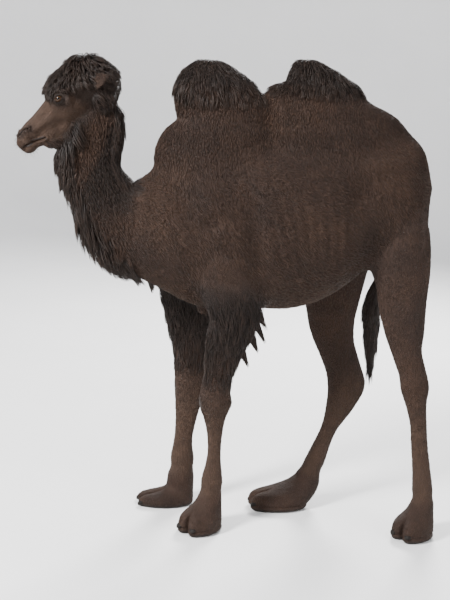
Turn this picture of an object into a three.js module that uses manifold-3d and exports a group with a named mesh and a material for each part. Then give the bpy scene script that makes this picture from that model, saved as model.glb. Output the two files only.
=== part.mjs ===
// A Bactrian camel standing in mid-step, life size, as a museum shows it.
// Millimetres, +Z up. The nose points towards -X and the camel's left side towards -Y. The soles stand on Z = 0.
// Every piece of the body is a loft: egg-shaped sections strung on a smooth spine, out to the tips of the coat.
import * as THREE from 'three';
import { LoftGeometry } from 'three/addons/geometries/LoftGeometry.js';
import { mergeVertices } from 'three/addons/utils/BufferGeometryUtils.js';
import Module from 'manifold-3d';

const wasm = await Module();
wasm.setup();

// ---------------------------------------------------------------------------------------------------- sizes

const FOOTPRINT_CENTRE = [36, -14]; // the point of the drawing frame that becomes the part's own X = Y = 0
const GAP = 0.4; // clear space between pieces that touch
const DOWN = new THREE.Vector3(0, 0, -1);
const BACKWARD = new THREE.Vector3(1, 0, 0);
const LEFT = -1;
const RIGHT = 1;

// Each row of a loft is [x, y, z, half width, above, below]: a point of the spine and the section's reach from it.
// Spines run from nose to tail or from top to bottom. On one that runs down, "above" is behind and "below" ahead.

const TRUNK = [
  [-525, 0, 1390, 60, 70, 60],
  [-470, 0, 1395, 130, 150, 150],
  [-400, 0, 1410, 190, 230, 225],
  [-310, 0, 1425, 235, 290, 279],
  [-190, 0, 1430, 275, 355, 345],
  [0, 0, 1430, 308, 402, 395],
  [160, 0, 1430, 342, 415, 376],
  [290, 0, 1430, 352, 416, 375],
  [420, 0, 1430, 350, 420, 342],
  [530, 0, 1440, 336, 422, 290],
  [630, 0, 1460, 312, 420, 220],
  [720, 0, 1490, 292, 411, 155],
  [800, 0, 1510, 268, 403, 130],
  [860, 0, 1530, 235, 367, 130],
  [908, 0, 1545, 190, 298, 120],
  [936, 0, 1570, 136, 172, 110],
  [953, 0, 1580, 70, 75, 70],
];

const FRONT_HUMP = [
  [-125, 0, 2192, 22, 32, 32],
  [-113, 0, 2177, 44, 74, 70],
  [-104, 0, 2148, 64, 118, 116],
  [-84, 0, 2096, 96, 176, 176],
  [-50, 0, 2023, 126, 210, 220],
  [-14, 0, 1960, 142, 226, 248],
  [-20, 0, 1922, 152, 232, 232],
  [-20, 0, 1868, 170, 265, 284],
  [-20, 0, 1800, 192, 300, 320],
  [-20, 0, 1735, 212, 320, 330],
  [-5, 0, 1600, 230, 330, 300],
];

const REAR_HUMP = [
  [326, 0, 2217, 22, 36, 28],
  [338, 0, 2202, 38, 64, 56],
  [356, 0, 2176, 56, 98, 92],
  [380, 0, 2142, 74, 138, 130],
  [404, 0, 2106, 92, 176, 170],
  [412, 0, 2086, 100, 190, 230],
  [424, 0, 2060, 108, 194, 271],
  [446, 0, 2022, 120, 218, 314],
  [466, 0, 1988, 134, 275, 345],
  [482, 0, 1938, 152, 341, 380],
  [490, 0, 1868, 178, 378, 410],
  [490, 0, 1770, 208, 392, 420],
  [500, 0, 1620, 240, 400, 410],
];

const NECK = [
  [-630, 0, 2010, 84, 118, 105],
  [-640, 0, 1900, 92, 160, 140],
  [-650, 0, 1790, 97, 160, 158],
  [-640, 0, 1680, 104, 150, 146],
  [-600, 0, 1572, 114, 154, 148],
  [-530, 0, 1478, 128, 188, 190],
  [-440, 0, 1425, 152, 205, 254],
  [-310, 0, 1405, 182, 200, 225],
  [-180, 0, 1400, 180, 190, 180],
];

const HEAD = [
  [-941, 0, 1776, 26, 22, 20],
  [-930, 0, 1794, 46, 38, 38],
  [-905, 0, 1824, 54, 46, 52],
  [-865, 0, 1863, 56, 52, 62],
  [-815, 0, 1911, 70, 60, 84],
  [-755, 0, 1964, 92, 77, 110],
  [-690, 0, 2012, 97, 90, 125],
  [-625, 0, 2048, 90, 82, 115],
  [-570, 0, 2070, 62, 55, 70],
  [-545, 0, 2078, 26, 25, 30],
];

const LOWER_JAW = [
  [-925, 0, 1745, 26, 14, 12],
  [-908, 0, 1758, 40, 24, 26],
  [-872, 0, 1785, 45, 30, 26],
  [-815, 0, 1822, 54, 50, 48],
  [-730, 0, 1880, 62, 70, 70],
];

const CROWN = [
  [-846, 0, 2004, 20, 16, 20],
  [-820, 0, 2006, 58, 50, 46],
  [-771, 0, 2010, 94, 104, 62],
  [-733, 0, 2010, 106, 146, 80],
  [-684, 0, 2010, 113, 174, 90],
  [-640, 0, 2010, 115, 173, 90],
  [-584, 0, 2010, 108, 145, 90],
  [-540, 0, 2005, 86, 102, 85],
  [-515, 0, 2000, 40, 46, 50],
];

const TAIL = [
  [905, 0, 1560, 34, 34, 34],
  [940, 4, 1480, 36, 34, 34],
  [928, 40, 1390, 33, 30, 30],
  [876, 92, 1290, 32, 28, 28],
  [822, 140, 1180, 36, 30, 42],
  [800, 176, 1070, 44, 42, 50],
  [802, 202, 960, 42, 50, 50],
  [808, 214, 850, 33, 42, 40],
  [814, 220, 760, 20, 24, 24],
  [818, 222, 684, 6, 6, 6],
];

const FORE_LEFT = [
  [-60, -180, 1520, 70, 120, 130],
  [-40, -196, 1330, 96, 150, 150],
  [5, -190, 1160, 88, 135, 130],
  [14, -176, 1040, 74, 132, 98],
  [-2, -164, 940, 64, 108, 90],
  [-16, -152, 850, 58, 90, 76],
  [-26, -142, 760, 55, 70, 66],
  [-32, -134, 690, 60, 73, 70],
  [-34, -130, 620, 62, 87, 71],
  [-30, -127, 545, 48, 58, 51],
  [-27, -125, 450, 39, 43, 33],
  [-26, -124, 340, 39, 43, 33],
  [-26, -125, 250, 46, 55, 53],
  [-26, -127, 185, 54, 60, 61],
];

const FORE_RIGHT = [
  [-120, 180, 1520, 70, 120, 130],
  [-114, 200, 1330, 96, 150, 160],
  [-108, 204, 1160, 88, 130, 182],
  [-102, 206, 1040, 74, 110, 158],
  [-100, 207, 940, 64, 90, 134],
  [-100, 208, 850, 58, 78, 106],
  [-100, 208, 760, 55, 78, 88],
  [-100, 208, 690, 60, 80, 85],
  [-98, 208, 600, 62, 85, 80],
  [-102, 207, 520, 48, 64, 74],
  [-108, 206, 420, 40, 47, 64],
  [-112, 205, 320, 40, 38, 64],
  [-114, 204, 240, 48, 52, 74],
  [-118, 203, 175, 52, 65, 73],
];

const HIND_LEFT = [
  [730, -130, 1610, 110, 180, 200],
  [762, -172, 1420, 118, 170, 178],
  [796, -196, 1240, 104, 145, 118],
  [822, -210, 1110, 86, 108, 120],
  [838, -218, 990, 68, 92, 100],
  [856, -224, 890, 56, 70, 76],
  [886, -230, 800, 52, 66, 70],
  [902, -234, 730, 54, 66, 72],
  [918, -238, 650, 46, 47, 58],
  [936, -242, 560, 38, 38, 50],
  [950, -246, 460, 38, 36, 52],
  [966, -250, 350, 39, 40, 54],
  [980, -254, 250, 46, 45, 60],
  [984, -256, 185, 54, 52, 61],
];

const HIND_RIGHT = [
  [600, 130, 1610, 110, 215, 200],
  [604, 164, 1420, 118, 196, 206],
  [594, 178, 1230, 108, 163, 172],
  [590, 182, 1060, 88, 137, 144],
  [600, 180, 930, 70, 110, 124],
  [632, 176, 810, 58, 92, 101],
  [662, 172, 710, 54, 96, 90],
  [676, 168, 625, 54, 106, 90],
  [656, 164, 530, 48, 83, 72],
  [612, 158, 400, 40, 41, 48],
  [562, 150, 270, 44, 48, 54],
  [524, 142, 175, 50, 62, 60],
];

// A foot: rings from the fetlock down to the sole, as [z, front, back, width, cleft]. The first three shares run from
// the fetlock's own circle (0) to the sole's outline (1), and "cleft" is how deep the gap between the toes bites in.
const FOOT_RINGS = [
  [200, 0, 0, 0, 0],
  [152, 0.08, 0.02, 0, 0],
  [122, 0.26, 0.06, 0.14, 0.02],
  [96, 0.58, 0.16, 0.45, 0.05],
  [74, 0.9, 0.32, 0.8, 0.1],
  [42, 1.02, 0.66, 1, 0.16],
  [14, 1.02, 0.95, 1, 0.18],
  [0, 0.96, 1, 0.94, 0.16],
];

// Each leg: its fetlock and that fetlock's radius, the centre of its sole, how far its toes turn out in degrees, the
// sole's half length and half width, the toes' height against the rings above, and the cut through its knee or hock.
const STANCE = {
  fore_left: {
    side: LEFT, spine: FORE_LEFT, fetlock: [-26, -127], radius: 56, sole: [-74, -150], turn: 40, length: 114, width: 94, rise: 1.13, knee: 530,
  },
  fore_right: {
    side: RIGHT, spine: FORE_RIGHT, fetlock: [-122, 203], radius: 62, sole: [-205, 190], turn: 0, length: 145, width: 90, rise: 0.58, knee: 515,
  },
  hind_left: {
    side: LEFT, spine: HIND_LEFT, fetlock: [984, -256], radius: 56, sole: [936, -278], turn: 36, length: 110, width: 94, rise: 1.13, knee: 600,
  },
  hind_right: {
    side: RIGHT, spine: HIND_RIGHT, fetlock: [520, 141], radius: 60, sole: [353, 110], turn: 0, length: 148, width: 90, rise: 1.04, knee: 480,
  },
};
const ANKLE = 190; // height of the cut between a leg and its foot

const NAIL = { across: 16, long: 19, high: 12, spread: 0.44, forward: 0.84, height: 34 };

// Locks of long hair that break the outline, each as [root, tip, radius at the root].
const ELBOW_LOCKS = [
  [[100, -172, 1115], [178, -172, 995], 24],
  [[98, -176, 1070], [171, -180, 943], 24],
  [[84, -168, 1000], [141, -172, 895], 21],
  [[52, -160, 930], [105, -164, 818], 17],
];
const CHEST_LOCKS = [
  [[-425, 0, 1240], [-392, 4, 1146], 46],
  [[-350, -20, 1210], [-331, -16, 1120], 26],
  [[-745, 0, 1670], [-766, 0, 1566], 22],
];
const EYE = { radius: 21, at: [-777, 74, 1985] };
const EAR = { root: [-628, 84, 2040], tip: [-585, 178, 2098], halfWidth: 30, thickness: 9 };
const CHEST_PAD = { at: [-20, 0, 1052], length: 105, width: 80, depth: 42 };

// ------------------------------------------------------------------------------------------------- materials

const coat = new THREE.MeshStandardMaterial({ color: 0x3b2a1e, roughness: 0.9, metalness: 0 });
const longHair = new THREE.MeshStandardMaterial({ color: 0x241811, roughness: 0.92, metalness: 0 });
const face = new THREE.MeshStandardMaterial({ color: 0x453225, roughness: 0.85, metalness: 0 });
const horn = new THREE.MeshStandardMaterial({ color: 0x1d1713, roughness: 0.45, metalness: 0 });
const eyeball = new THREE.MeshStandardMaterial({ color: 0x120c08, roughness: 0.08, metalness: 0 });

// ------------------------------------------------------------------------------------------------ the lofter

// A closed three.js geometry as a solid. Faces of no area, such as those at a ball's poles, are left out.
function solid(geometry) {
  const bare = new THREE.BufferGeometry()
    .setAttribute('position', geometry.attributes.position)
    .setIndex(geometry.index);
  const merged = mergeVertices(bare, 1e-3);
  const corners = Array.from(merged.index.array);
  const triVerts = [];
  for (let i = 0; i < corners.length; i += 3) {
    const [a, b, c] = corners.slice(i, i + 3);
    if (a !== b && b !== c && c !== a) triVerts.push(a, b, c);
  }
  return new wasm.Manifold(new wasm.Mesh({
    numProp: 3,
    vertProperties: merged.attributes.position.array,
    triVerts: new Uint32Array(triVerts),
  }));
}

// One egg-shaped section. It leans with the spine, and its width lies along `across`.
function section(centre, tangent, across, [half, above, below], sides) {
  const normal = new THREE.Vector3().crossVectors(tangent, across).normalize();
  return Array.from({ length: sides }, (_, i) => {
    const turn = (i / sides) * 2 * Math.PI;
    const reach = Math.sin(turn) > 0 ? above : below;
    return centre.clone()
      .addScaledVector(across, half * Math.cos(turn))
      .addScaledVector(normal, reach * Math.sin(turn));
  });
}

// The solid strung on a table of rows. `grow` swells it, for cutting its neighbours clear, and `along` is the one
// direction every section then faces, however the spine leans.
function loft(rows, { sides = 16, grow = 0, along } = {}) {
  const spine = new THREE.CatmullRomCurve3(rows.map(([x, y, z]) => new THREE.Vector3(x, y, z)));
  const across = new THREE.Vector3(0, 1, 0);
  const last = rows.length - 1;
  const sections = rows.map((row, i) => {
    const tangent = spine.getTangent(i / last);
    const centre = spine.getPoint(i / last);
    if (i === 0) centre.addScaledVector(tangent, -grow);
    if (i === last) centre.addScaledVector(tangent, grow);
    return section(centre, along ?? tangent, across, row.slice(3).map((value) => value + grow), sides);
  });
  return solid(new LoftGeometry(sections, { capStart: true, capEnd: true }));
}

// A foot's rings, turned to face where its toes point.
function footSolid({ fetlock, radius, sole, side, turn, length, width, rise }, sides = 16) {
  const { ahead, across } = facing(turn, side);
  const mix = THREE.MathUtils.lerp;
  const sections = FOOT_RINGS.map(([z, front, back, wide, cleft]) => {
    const height = z < 150 ? z * rise : z;
    const ankle = new THREE.Vector3(...fetlock, height);
    const pad = new THREE.Vector3(...sole, height);
    const toe = ankle.clone().addScaledVector(ahead, radius).lerp(pad.clone().addScaledVector(ahead, length), front);
    const heel = ankle.clone().addScaledVector(ahead, -radius).lerp(pad.clone().addScaledVector(ahead, -length), back);
    const centre = toe.clone().lerp(heel, 0.5);
    const half = toe.distanceTo(heel) / 2;
    return Array.from({ length: sides }, (_, i) => {
      const round = (i / sides) * 2 * Math.PI;
      const notch = Math.cos(round) > 0 ? 1 - cleft * Math.exp(-((Math.sin(round) / 0.3) ** 2)) : 1;
      return centre.clone()
        .addScaledVector(ahead, half * Math.cos(round) * notch)
        .addScaledVector(across, mix(radius, width, wide) * Math.sin(round));
    }).reverse();
  });
  return solid(new LoftGeometry(sections, { capStart: true, capEnd: true }));
}

// A lock of long hair: a cone from its root to its tip.
function lock([root, tip, radius]) {
  const from = new THREE.Vector3(...root);
  const to = new THREE.Vector3(...tip);
  const cone = new THREE.ConeGeometry(radius, from.distanceTo(to), 6);
  const turn = new THREE.Quaternion().setFromUnitVectors(new THREE.Vector3(0, 1, 0), to.clone().sub(from).normalize());
  const middle = from.lerp(to, 0.5);
  return solid(cone.applyQuaternion(turn).translate(middle.x, middle.y, middle.z));
}

// The level directions ahead of and across a foot whose toes turn out from the camel's own heading, -X.
function facing(turn, side) {
  const angle = THREE.MathUtils.degToRad(turn) * side;
  const ahead = new THREE.Vector3(-Math.cos(angle), Math.sin(angle), 0);
  return { ahead, across: new THREE.Vector3(-ahead.y, ahead.x, 0) };
}

// A ball scaled to three half sizes, turned about the upright axis.
function ellipsoid([x, y, z], [a, b, c], turn = 0, segments = 12) {
  const ball = new THREE.SphereGeometry(1, segments, segments / 2);
  return solid(ball.scale(a, b, c).rotateZ(turn).translate(x, y, z));
}

const largest = (body) => body.decompose().reduce((a, b) => (a.volume() > b.volume() ? a : b));
const above = (body, z) => body.trimByPlane([0, 0, 1], z + GAP / 2);
const below = (body, z) => body.trimByPlane([0, 0, -1], GAP / 2 - z);

// ------------------------------------------------------------------------------------------------- the camel

const camel = new THREE.Group();
camel.position.set(-FOOTPRINT_CENTRE[0], -FOOTPRINT_CENTRE[1], 0);

function add(name, body, material, group = camel) {
  const { numProp, numVert, vertProperties, triVerts } = largest(body).getMesh();
  const places = new Float32Array(numVert * 3);
  for (let i = 0; i < numVert; i++) {
    places.set(vertProperties.subarray(i * numProp, i * numProp + 3), i * 3);
  }
  const geometry = new THREE.BufferGeometry()
    .setAttribute('position', new THREE.BufferAttribute(places, 3))
    .setIndex(new THREE.BufferAttribute(triVerts, 1));
  geometry.computeVertexNormals();
  const mesh = new THREE.Mesh(geometry, material);
  mesh.name = name;
  group.add(mesh);
}

const trunkSolid = (grow) => loft(TRUNK, { sides: 24, along: BACKWARD, grow })
  .add(ellipsoid(CHEST_PAD.at, [CHEST_PAD.length + grow, CHEST_PAD.width + grow, CHEST_PAD.depth + grow]));
const frontHumpSolid = (grow) => loft(FRONT_HUMP, { sides: 20, along: DOWN, grow });
const rearHumpSolid = (grow) => loft(REAR_HUMP, { sides: 20, along: DOWN, grow });
const neckSolid = (grow) => loft(NECK, { sides: 20, grow });
const headSolid = (grow) => loft(HEAD, { sides: 20, grow }).add(loft(CROWN, { sides: 20, grow }));

function addBody() {
  add('trunk', trunkSolid(0), coat);
  add('hump_front', frontHumpSolid(0).subtract(trunkSolid(GAP)), coat);
  add('hump_rear', rearHumpSolid(0).subtract(trunkSolid(GAP)).subtract(frontHumpSolid(GAP)), coat);
  const tail = loft(TAIL, { sides: 12 }).subtract(trunkSolid(GAP));
  add('tail', tail, longHair);
}

const mirrored = ([x, y, z], side) => [x, y * side, z];

function addHead() {
  const group = new THREE.Group();
  camel.add(group);
  const sockets = [LEFT, RIGHT].map((side) => ellipsoid(mirrored(EYE.at, side), Array(3).fill(EYE.radius + GAP)));
  const head = sockets.reduce((body, socket) => body.subtract(socket), headSolid(0));
  add('head', head, face, group);
  add('lower_jaw', loft(LOWER_JAW, { sides: 14 }).subtract(headSolid(GAP)), face, group);
  const neck = CHEST_LOCKS.reduce((body, row) => body.add(lock(row)), neckSolid(0))
    .subtract(headSolid(GAP))
    .subtract(loft(LOWER_JAW, { sides: 14, grow: GAP }))
    .subtract(trunkSolid(GAP))
    .subtract(frontHumpSolid(GAP));
  add('neck', neck, longHair, group);
  for (const side of [LEFT, RIGHT]) {
    const name = side === LEFT ? 'left' : 'right';
    add('eye_' + name, ellipsoid(mirrored(EYE.at, side), Array(3).fill(EYE.radius)), eyeball, group);
    add('ear_' + name, earSolid(side).subtract(headSolid(GAP)).subtract(neckSolid(GAP)), face, group);
  }
}

// An ear: a leaf that widens to its middle and ends in a round tip.
function earSolid(side) {
  const root = new THREE.Vector3(...mirrored(EAR.root, side));
  const tip = new THREE.Vector3(...mirrored(EAR.tip, side));
  const share = [0, 0.25, 0.5, 0.75, 0.93, 1];
  const rows = share.map((s) => {
    const leaf = Math.sqrt(Math.max(Math.sin(Math.PI * (0.2 + 0.8 * s)), 0.02));
    const at = root.clone().lerp(tip, s);
    return [at.x, at.y, at.z, EAR.thickness * (1.2 - 0.6 * s), EAR.halfWidth * leaf, EAR.halfWidth * leaf];
  });
  return loft(rows, { sides: 10 });
}

function addLeg(name, stance) {
  const group = new THREE.Group();
  camel.add(group);
  const whole = loft(stance.spine, { sides: 14 });
  const upperName = name.startsWith('fore') ? '_forearm' : '_thigh';
  const haired = name === 'fore_left' ? ELBOW_LOCKS.reduce((body, row) => body.add(lock(row)), whole) : whole;
  const upper = above(haired, stance.knee)
    .subtract(trunkSolid(GAP))
    .subtract(neckSolid(GAP))
    .subtract(rearHumpSolid(GAP));
  add(name + upperName, upper, coat, group);
  add(name + '_cannon', above(below(whole, stance.knee), ANKLE), coat, group);

  const { ahead, across } = facing(stance.turn, stance.side);
  const heading = Math.atan2(ahead.y, ahead.x);
  let foot = below(footSolid(stance), ANKLE);
  for (const toe of [LEFT, RIGHT]) {
    const at = new THREE.Vector3(...stance.sole, 0)
      .addScaledVector(ahead, NAIL.forward * stance.length)
      .addScaledVector(across, NAIL.spread * stance.width * toe)
      .setZ(NAIL.height * stance.rise);
    const size = [NAIL.long, NAIL.across, NAIL.high];
    foot = foot.subtract(ellipsoid(at, size.map((value) => value + GAP), heading, 8));
    add(name + (toe === LEFT ? '_nail_a' : '_nail_b'), ellipsoid(at, size, heading, 8), horn, group);
  }
  add(name + '_foot', foot, coat, group);
}

addBody();
addHead();
Object.entries(STANCE).forEach(([name, stance]) => addLeg(name, stance));

export default camel;
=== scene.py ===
"""A two-humped camel at life size, in mid-step, in a short dark summer coat with long hair at the crown,
throat, humps, forearms and tail. The skin is one surface; eyes, lids, lashes, nails and hair are pieces of
their own."""

import bmesh
import bpy
import numpy as np
from bpy.props import FloatProperty, FloatVectorProperty, IntProperty, PointerProperty
from mathutils import Matrix, Vector


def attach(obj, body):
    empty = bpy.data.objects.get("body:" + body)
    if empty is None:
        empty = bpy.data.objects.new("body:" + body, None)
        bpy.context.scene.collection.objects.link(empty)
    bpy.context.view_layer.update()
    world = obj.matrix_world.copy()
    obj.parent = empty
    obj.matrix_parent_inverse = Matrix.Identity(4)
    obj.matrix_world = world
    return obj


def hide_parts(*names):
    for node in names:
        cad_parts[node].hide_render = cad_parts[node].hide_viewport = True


bl_info = {
    "name": "Two-humped camel",
    "version": (1, 0, 0),
    "blender": (4, 5, 0),
    "location": "3D View > Sidebar > Camel",
    "description": "Builds a life-size two-humped camel piece by piece",
    "category": "Add Mesh",
}

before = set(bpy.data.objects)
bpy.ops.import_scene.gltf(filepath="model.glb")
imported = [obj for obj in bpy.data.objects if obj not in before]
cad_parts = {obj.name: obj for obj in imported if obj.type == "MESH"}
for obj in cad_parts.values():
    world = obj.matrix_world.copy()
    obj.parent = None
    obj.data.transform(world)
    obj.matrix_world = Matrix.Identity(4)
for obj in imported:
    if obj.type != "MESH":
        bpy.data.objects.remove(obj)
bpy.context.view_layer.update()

MM = 0.001
SHIFT = np.array([-36.0, 14.0, 0.0]) * MM  # from the stations' frame to the part's own
LEFT, RIGHT = -1, 1
LEGS = ("fore_left", "fore_right", "hind_left", "hind_right")
TAU = 2 * np.pi
UP = np.array([0.0, 0.0, 1.0])

# Stations, in millimetres: x, y, z of the spine, then the section's half width and its reach above and
# below. Spines run from nose to tail or from top to bottom; on one that runs down, "above" is behind and
# "below" ahead.
STATIONS = {
    "trunk": (
        (-525, 0, 1390, 60, 70, 60), (-470, 0, 1395, 130, 150, 150), (-400, 0, 1410, 190, 230, 225),
        (-310, 0, 1425, 235, 290, 279), (-190, 0, 1430, 275, 355, 345), (0, 0, 1430, 308, 402, 395),
        (160, 0, 1430, 342, 415, 376), (290, 0, 1430, 352, 416, 375), (420, 0, 1430, 350, 420, 342),
        (530, 0, 1440, 336, 422, 290), (630, 0, 1460, 312, 420, 220), (720, 0, 1490, 292, 411, 155),
        (800, 0, 1510, 268, 403, 130), (860, 0, 1530, 235, 367, 130), (908, 0, 1545, 190, 298, 120),
        (936, 0, 1570, 136, 172, 110), (953, 0, 1580, 70, 75, 70),
    ),
    "front_hump": (
        (-125, 0, 2192, 22, 32, 32), (-113, 0, 2177, 44, 74, 70), (-104, 0, 2148, 64, 118, 116),
        (-84, 0, 2096, 96, 176, 176), (-50, 0, 2023, 126, 210, 220), (-14, 0, 1960, 142, 226, 248),
        (-20, 0, 1922, 152, 232, 232), (-20, 0, 1868, 170, 265, 284), (-20, 0, 1800, 192, 300, 320),
        (-20, 0, 1735, 212, 320, 330), (-5, 0, 1600, 230, 330, 300),
    ),
    "rear_hump": (
        (326, 0, 2217, 22, 36, 28), (338, 0, 2202, 38, 64, 56), (356, 0, 2176, 56, 98, 92),
        (380, 0, 2142, 74, 138, 130), (404, 0, 2106, 92, 176, 170), (412, 0, 2086, 100, 190, 230),
        (424, 0, 2060, 108, 194, 271), (446, 0, 2022, 120, 218, 314), (466, 0, 1988, 134, 275, 345),
        (482, 0, 1938, 152, 341, 380), (490, 0, 1868, 178, 378, 410), (490, 0, 1770, 208, 392, 420),
        (500, 0, 1620, 240, 400, 410),
    ),
    "neck": (
        (-630, 0, 2010, 84, 118, 105), (-640, 0, 1900, 92, 160, 140), (-650, 0, 1790, 97, 160, 158),
        (-640, 0, 1680, 104, 150, 146), (-600, 0, 1572, 114, 154, 148), (-530, 0, 1478, 128, 188, 190),
        (-440, 0, 1425, 152, 205, 254), (-310, 0, 1405, 182, 200, 225), (-180, 0, 1400, 180, 190, 180),
    ),
    "head": (
        (-941, 0, 1776, 26, 22, 20), (-930, 0, 1794, 46, 38, 38), (-905, 0, 1824, 54, 46, 52),
        (-865, 0, 1863, 56, 52, 62), (-815, 0, 1911, 70, 60, 84), (-755, 0, 1964, 92, 77, 110),
        (-690, 0, 2012, 97, 90, 125), (-625, 0, 2048, 90, 82, 115), (-570, 0, 2070, 62, 55, 70),
        (-545, 0, 2078, 26, 25, 30),
    ),
    "lower_jaw": (
        (-925, 0, 1745, 26, 14, 12), (-908, 0, 1758, 40, 24, 26), (-872, 0, 1785, 45, 30, 26),
        (-815, 0, 1822, 54, 50, 48), (-730, 0, 1880, 62, 70, 70),
    ),
    "crown": (
        (-846, 0, 2004, 20, 16, 20), (-820, 0, 2006, 58, 50, 46), (-771, 0, 2010, 94, 104, 62),
        (-733, 0, 2010, 106, 146, 80), (-684, 0, 2010, 113, 174, 90), (-640, 0, 2010, 115, 173, 90),
        (-584, 0, 2010, 108, 145, 90), (-540, 0, 2005, 86, 102, 85), (-515, 0, 2000, 40, 46, 50),
    ),
    "tail": (
        (905, 0, 1560, 34, 34, 34), (940, 4, 1480, 36, 34, 34), (928, 40, 1390, 33, 30, 30),
        (876, 92, 1290, 32, 28, 28), (822, 140, 1180, 36, 30, 42), (800, 176, 1070, 44, 42, 50),
        (802, 202, 960, 42, 50, 50), (808, 214, 850, 33, 42, 40), (814, 220, 760, 20, 24, 24),
        (818, 222, 684, 6, 6, 6),
    ),
    "fore_left": (
        (-60, -180, 1520, 70, 120, 130), (-40, -196, 1330, 96, 150, 150), (5, -190, 1160, 88, 135, 130),
        (14, -176, 1040, 74, 132, 98), (-2, -164, 940, 64, 108, 90), (-16, -152, 850, 58, 90, 76),
        (-26, -142, 760, 55, 70, 66), (-32, -134, 690, 60, 73, 70), (-34, -130, 620, 62, 87, 71),
        (-30, -127, 545, 48, 58, 51), (-27, -125, 450, 39, 43, 33), (-26, -124, 340, 39, 43, 33),
        (-26, -125, 250, 46, 55, 53), (-26, -127, 185, 54, 60, 61),
    ),
    "fore_right": (
        (-120, 180, 1520, 70, 120, 130), (-114, 200, 1330, 96, 150, 160), (-108, 204, 1160, 88, 130, 182),
        (-102, 206, 1040, 74, 110, 158), (-100, 207, 940, 64, 90, 134), (-100, 208, 850, 58, 78, 106),
        (-100, 208, 760, 55, 78, 88), (-100, 208, 690, 60, 80, 85), (-98, 208, 600, 62, 85, 80),
        (-102, 207, 520, 48, 64, 74), (-108, 206, 420, 40, 47, 64), (-112, 205, 320, 40, 38, 64),
        (-114, 204, 240, 48, 52, 74), (-118, 203, 175, 52, 65, 73),
    ),
    "hind_left": (
        (730, -130, 1610, 110, 180, 200), (762, -172, 1420, 118, 170, 178),
        (796, -196, 1240, 104, 145, 118), (822, -210, 1110, 86, 108, 120), (838, -218, 990, 68, 92, 100),
        (856, -224, 890, 56, 70, 76), (886, -230, 800, 52, 66, 70), (902, -234, 730, 54, 66, 72),
        (918, -238, 650, 46, 47, 58), (936, -242, 560, 38, 38, 50), (950, -246, 460, 38, 36, 52),
        (966, -250, 350, 39, 40, 54), (980, -254, 250, 46, 45, 60), (984, -256, 185, 54, 52, 61),
    ),
    "hind_right": (
        (600, 130, 1610, 110, 215, 200), (604, 164, 1420, 118, 196, 206), (594, 178, 1230, 108, 163, 172),
        (590, 182, 1060, 88, 137, 144), (600, 180, 930, 70, 110, 124), (632, 176, 810, 58, 92, 101),
        (662, 172, 710, 54, 96, 90), (676, 168, 625, 54, 106, 90), (656, 164, 530, 48, 83, 72),
        (612, 158, 400, 40, 41, 48), (562, 150, 270, 44, 48, 54), (524, 142, 175, 50, 62, 60),
    ),
    "foot_rings": (
        (200, 0, 0, 0, 0), (152, 0.08, 0.02, 0, 0), (122, 0.26, 0.06, 0.14, 0.02),
        (96, 0.58, 0.16, 0.45, 0.05), (74, 0.9, 0.32, 0.8, 0.1), (42, 1.02, 0.66, 1, 0.16),
        (14, 1.02, 0.95, 1, 0.18), (0, 0.96, 1, 0.94, 0.16),
    ),
}

# How far the skin lies inside each outline: at the sides, above and below, in millimetres.
COAT_DEPTH = {
    "trunk": (9, 8, 7),
    "front_hump": (8, 7, 7),
    "rear_hump": (8, 7, 7),
    "neck": (18, 17, 34),
    "head": (4, 4, 4),
    "lower_jaw": (4, 5, 5),
    "crown": (26, 12, 16),
    "tail": (13, 13, 13),
    **{leg: (3, 3, 3) for leg in LEGS},
}
FOOT_DEPTH = 2

# Each leg's foot: its side, the fetlock and its radius, the sole's centre, the toes' turn outward in
# degrees, half the length and the width, and how much taller the top is than that of the plain foot. In
# millimetres.
FOOT_SIZES = ("side", "fetlock", "radius", "sole", "turn", "length", "width", "rise")
FEET = {
    leg: dict(zip(FOOT_SIZES, sizes)) for leg, *sizes in (
        ("fore_left", LEFT, (-26, -127), 56, (-74, -150), 40, 114, 94, 1.13),
        ("fore_right", RIGHT, (-122, 203), 62, (-205, 190), 0, 145, 90, 0.58),
        ("hind_left", LEFT, (984, -256), 56, (936, -278), 36, 110, 94, 1.13),
        ("hind_right", RIGHT, (520, 141), 60, (353, 110), 0, 148, 90, 1.04),
    )
}
# A nail's half sizes and how far it lies inside them, in millimetres; its place as shares of the foot's
# size.
NAIL = dict(across=16, long=19, high=12, inside=0.4, power=2.6, spread=0.44, forward=0.84, height=34)
EYE = dict(radius=21, at=(-777, 74, 1985))
EAR = dict(root=(-632, 78, 2036), tip=(-587, 174, 2094), half_width=29, thickness=4)
SOCKET = 14.5  # from the eye's centre to the bottom of its socket, in millimetres
LID = dict(long=np.radians(62), above=np.radians(37), below=np.radians(28), power=1.7)
# The lids' section, row by row: degrees from the edge, share of the run to the head, rise over the eye in
# millimetres, and further rise on the upper lid.
LID_PROFILE = (
    (2, 1.0, -2.5, 0), (3, 0.5, -1.0, 0), (2, 0.1, -0.6, 0), (0.6, 0, -0.2, 0), (0, 0, 0.7, 0.2),
    (0.4, 0, 1.5, 0.5), (2, 0, 2.1, 0.9), (6, 0, 2.5, 1.3), (10, 0, 2.3, 1.3), (13, 0, 1.7, 0.5),
    (15, 0, 2.2, 0.8), (17, 0.12, 2.7, 1.5), (12, 0.35, 2.7, 1.6), (8, 0.6, 1.9, 1.0), (4, 0.85, 0.4, 0.2),
    (2, 1.0, -1.5, 0),
)
# Rows of lashes: first and last angle round the gaze, lashes, length in millimetres, degrees outside the
# lid's edge.
LASH_ROWS = ((0.12, 3.02, 58, 21, 2.0), (0.2, 2.95, 50, 17, 5.0), (3.35, 6.07, 44, 11, 2.5))
CHEST_PAD = dict(at=(-20, 0, 1052), half=(105, 80, 42), depth=6)
MUZZLE = (-912, 0, 1800)
HEAD_LOW, HEAD_BACK = 1.66, -0.5  # the head's skin lies above and ahead of these, in metres
SOLE_LOW = 0.0006  # the lowest the skin may come, in metres

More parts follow.
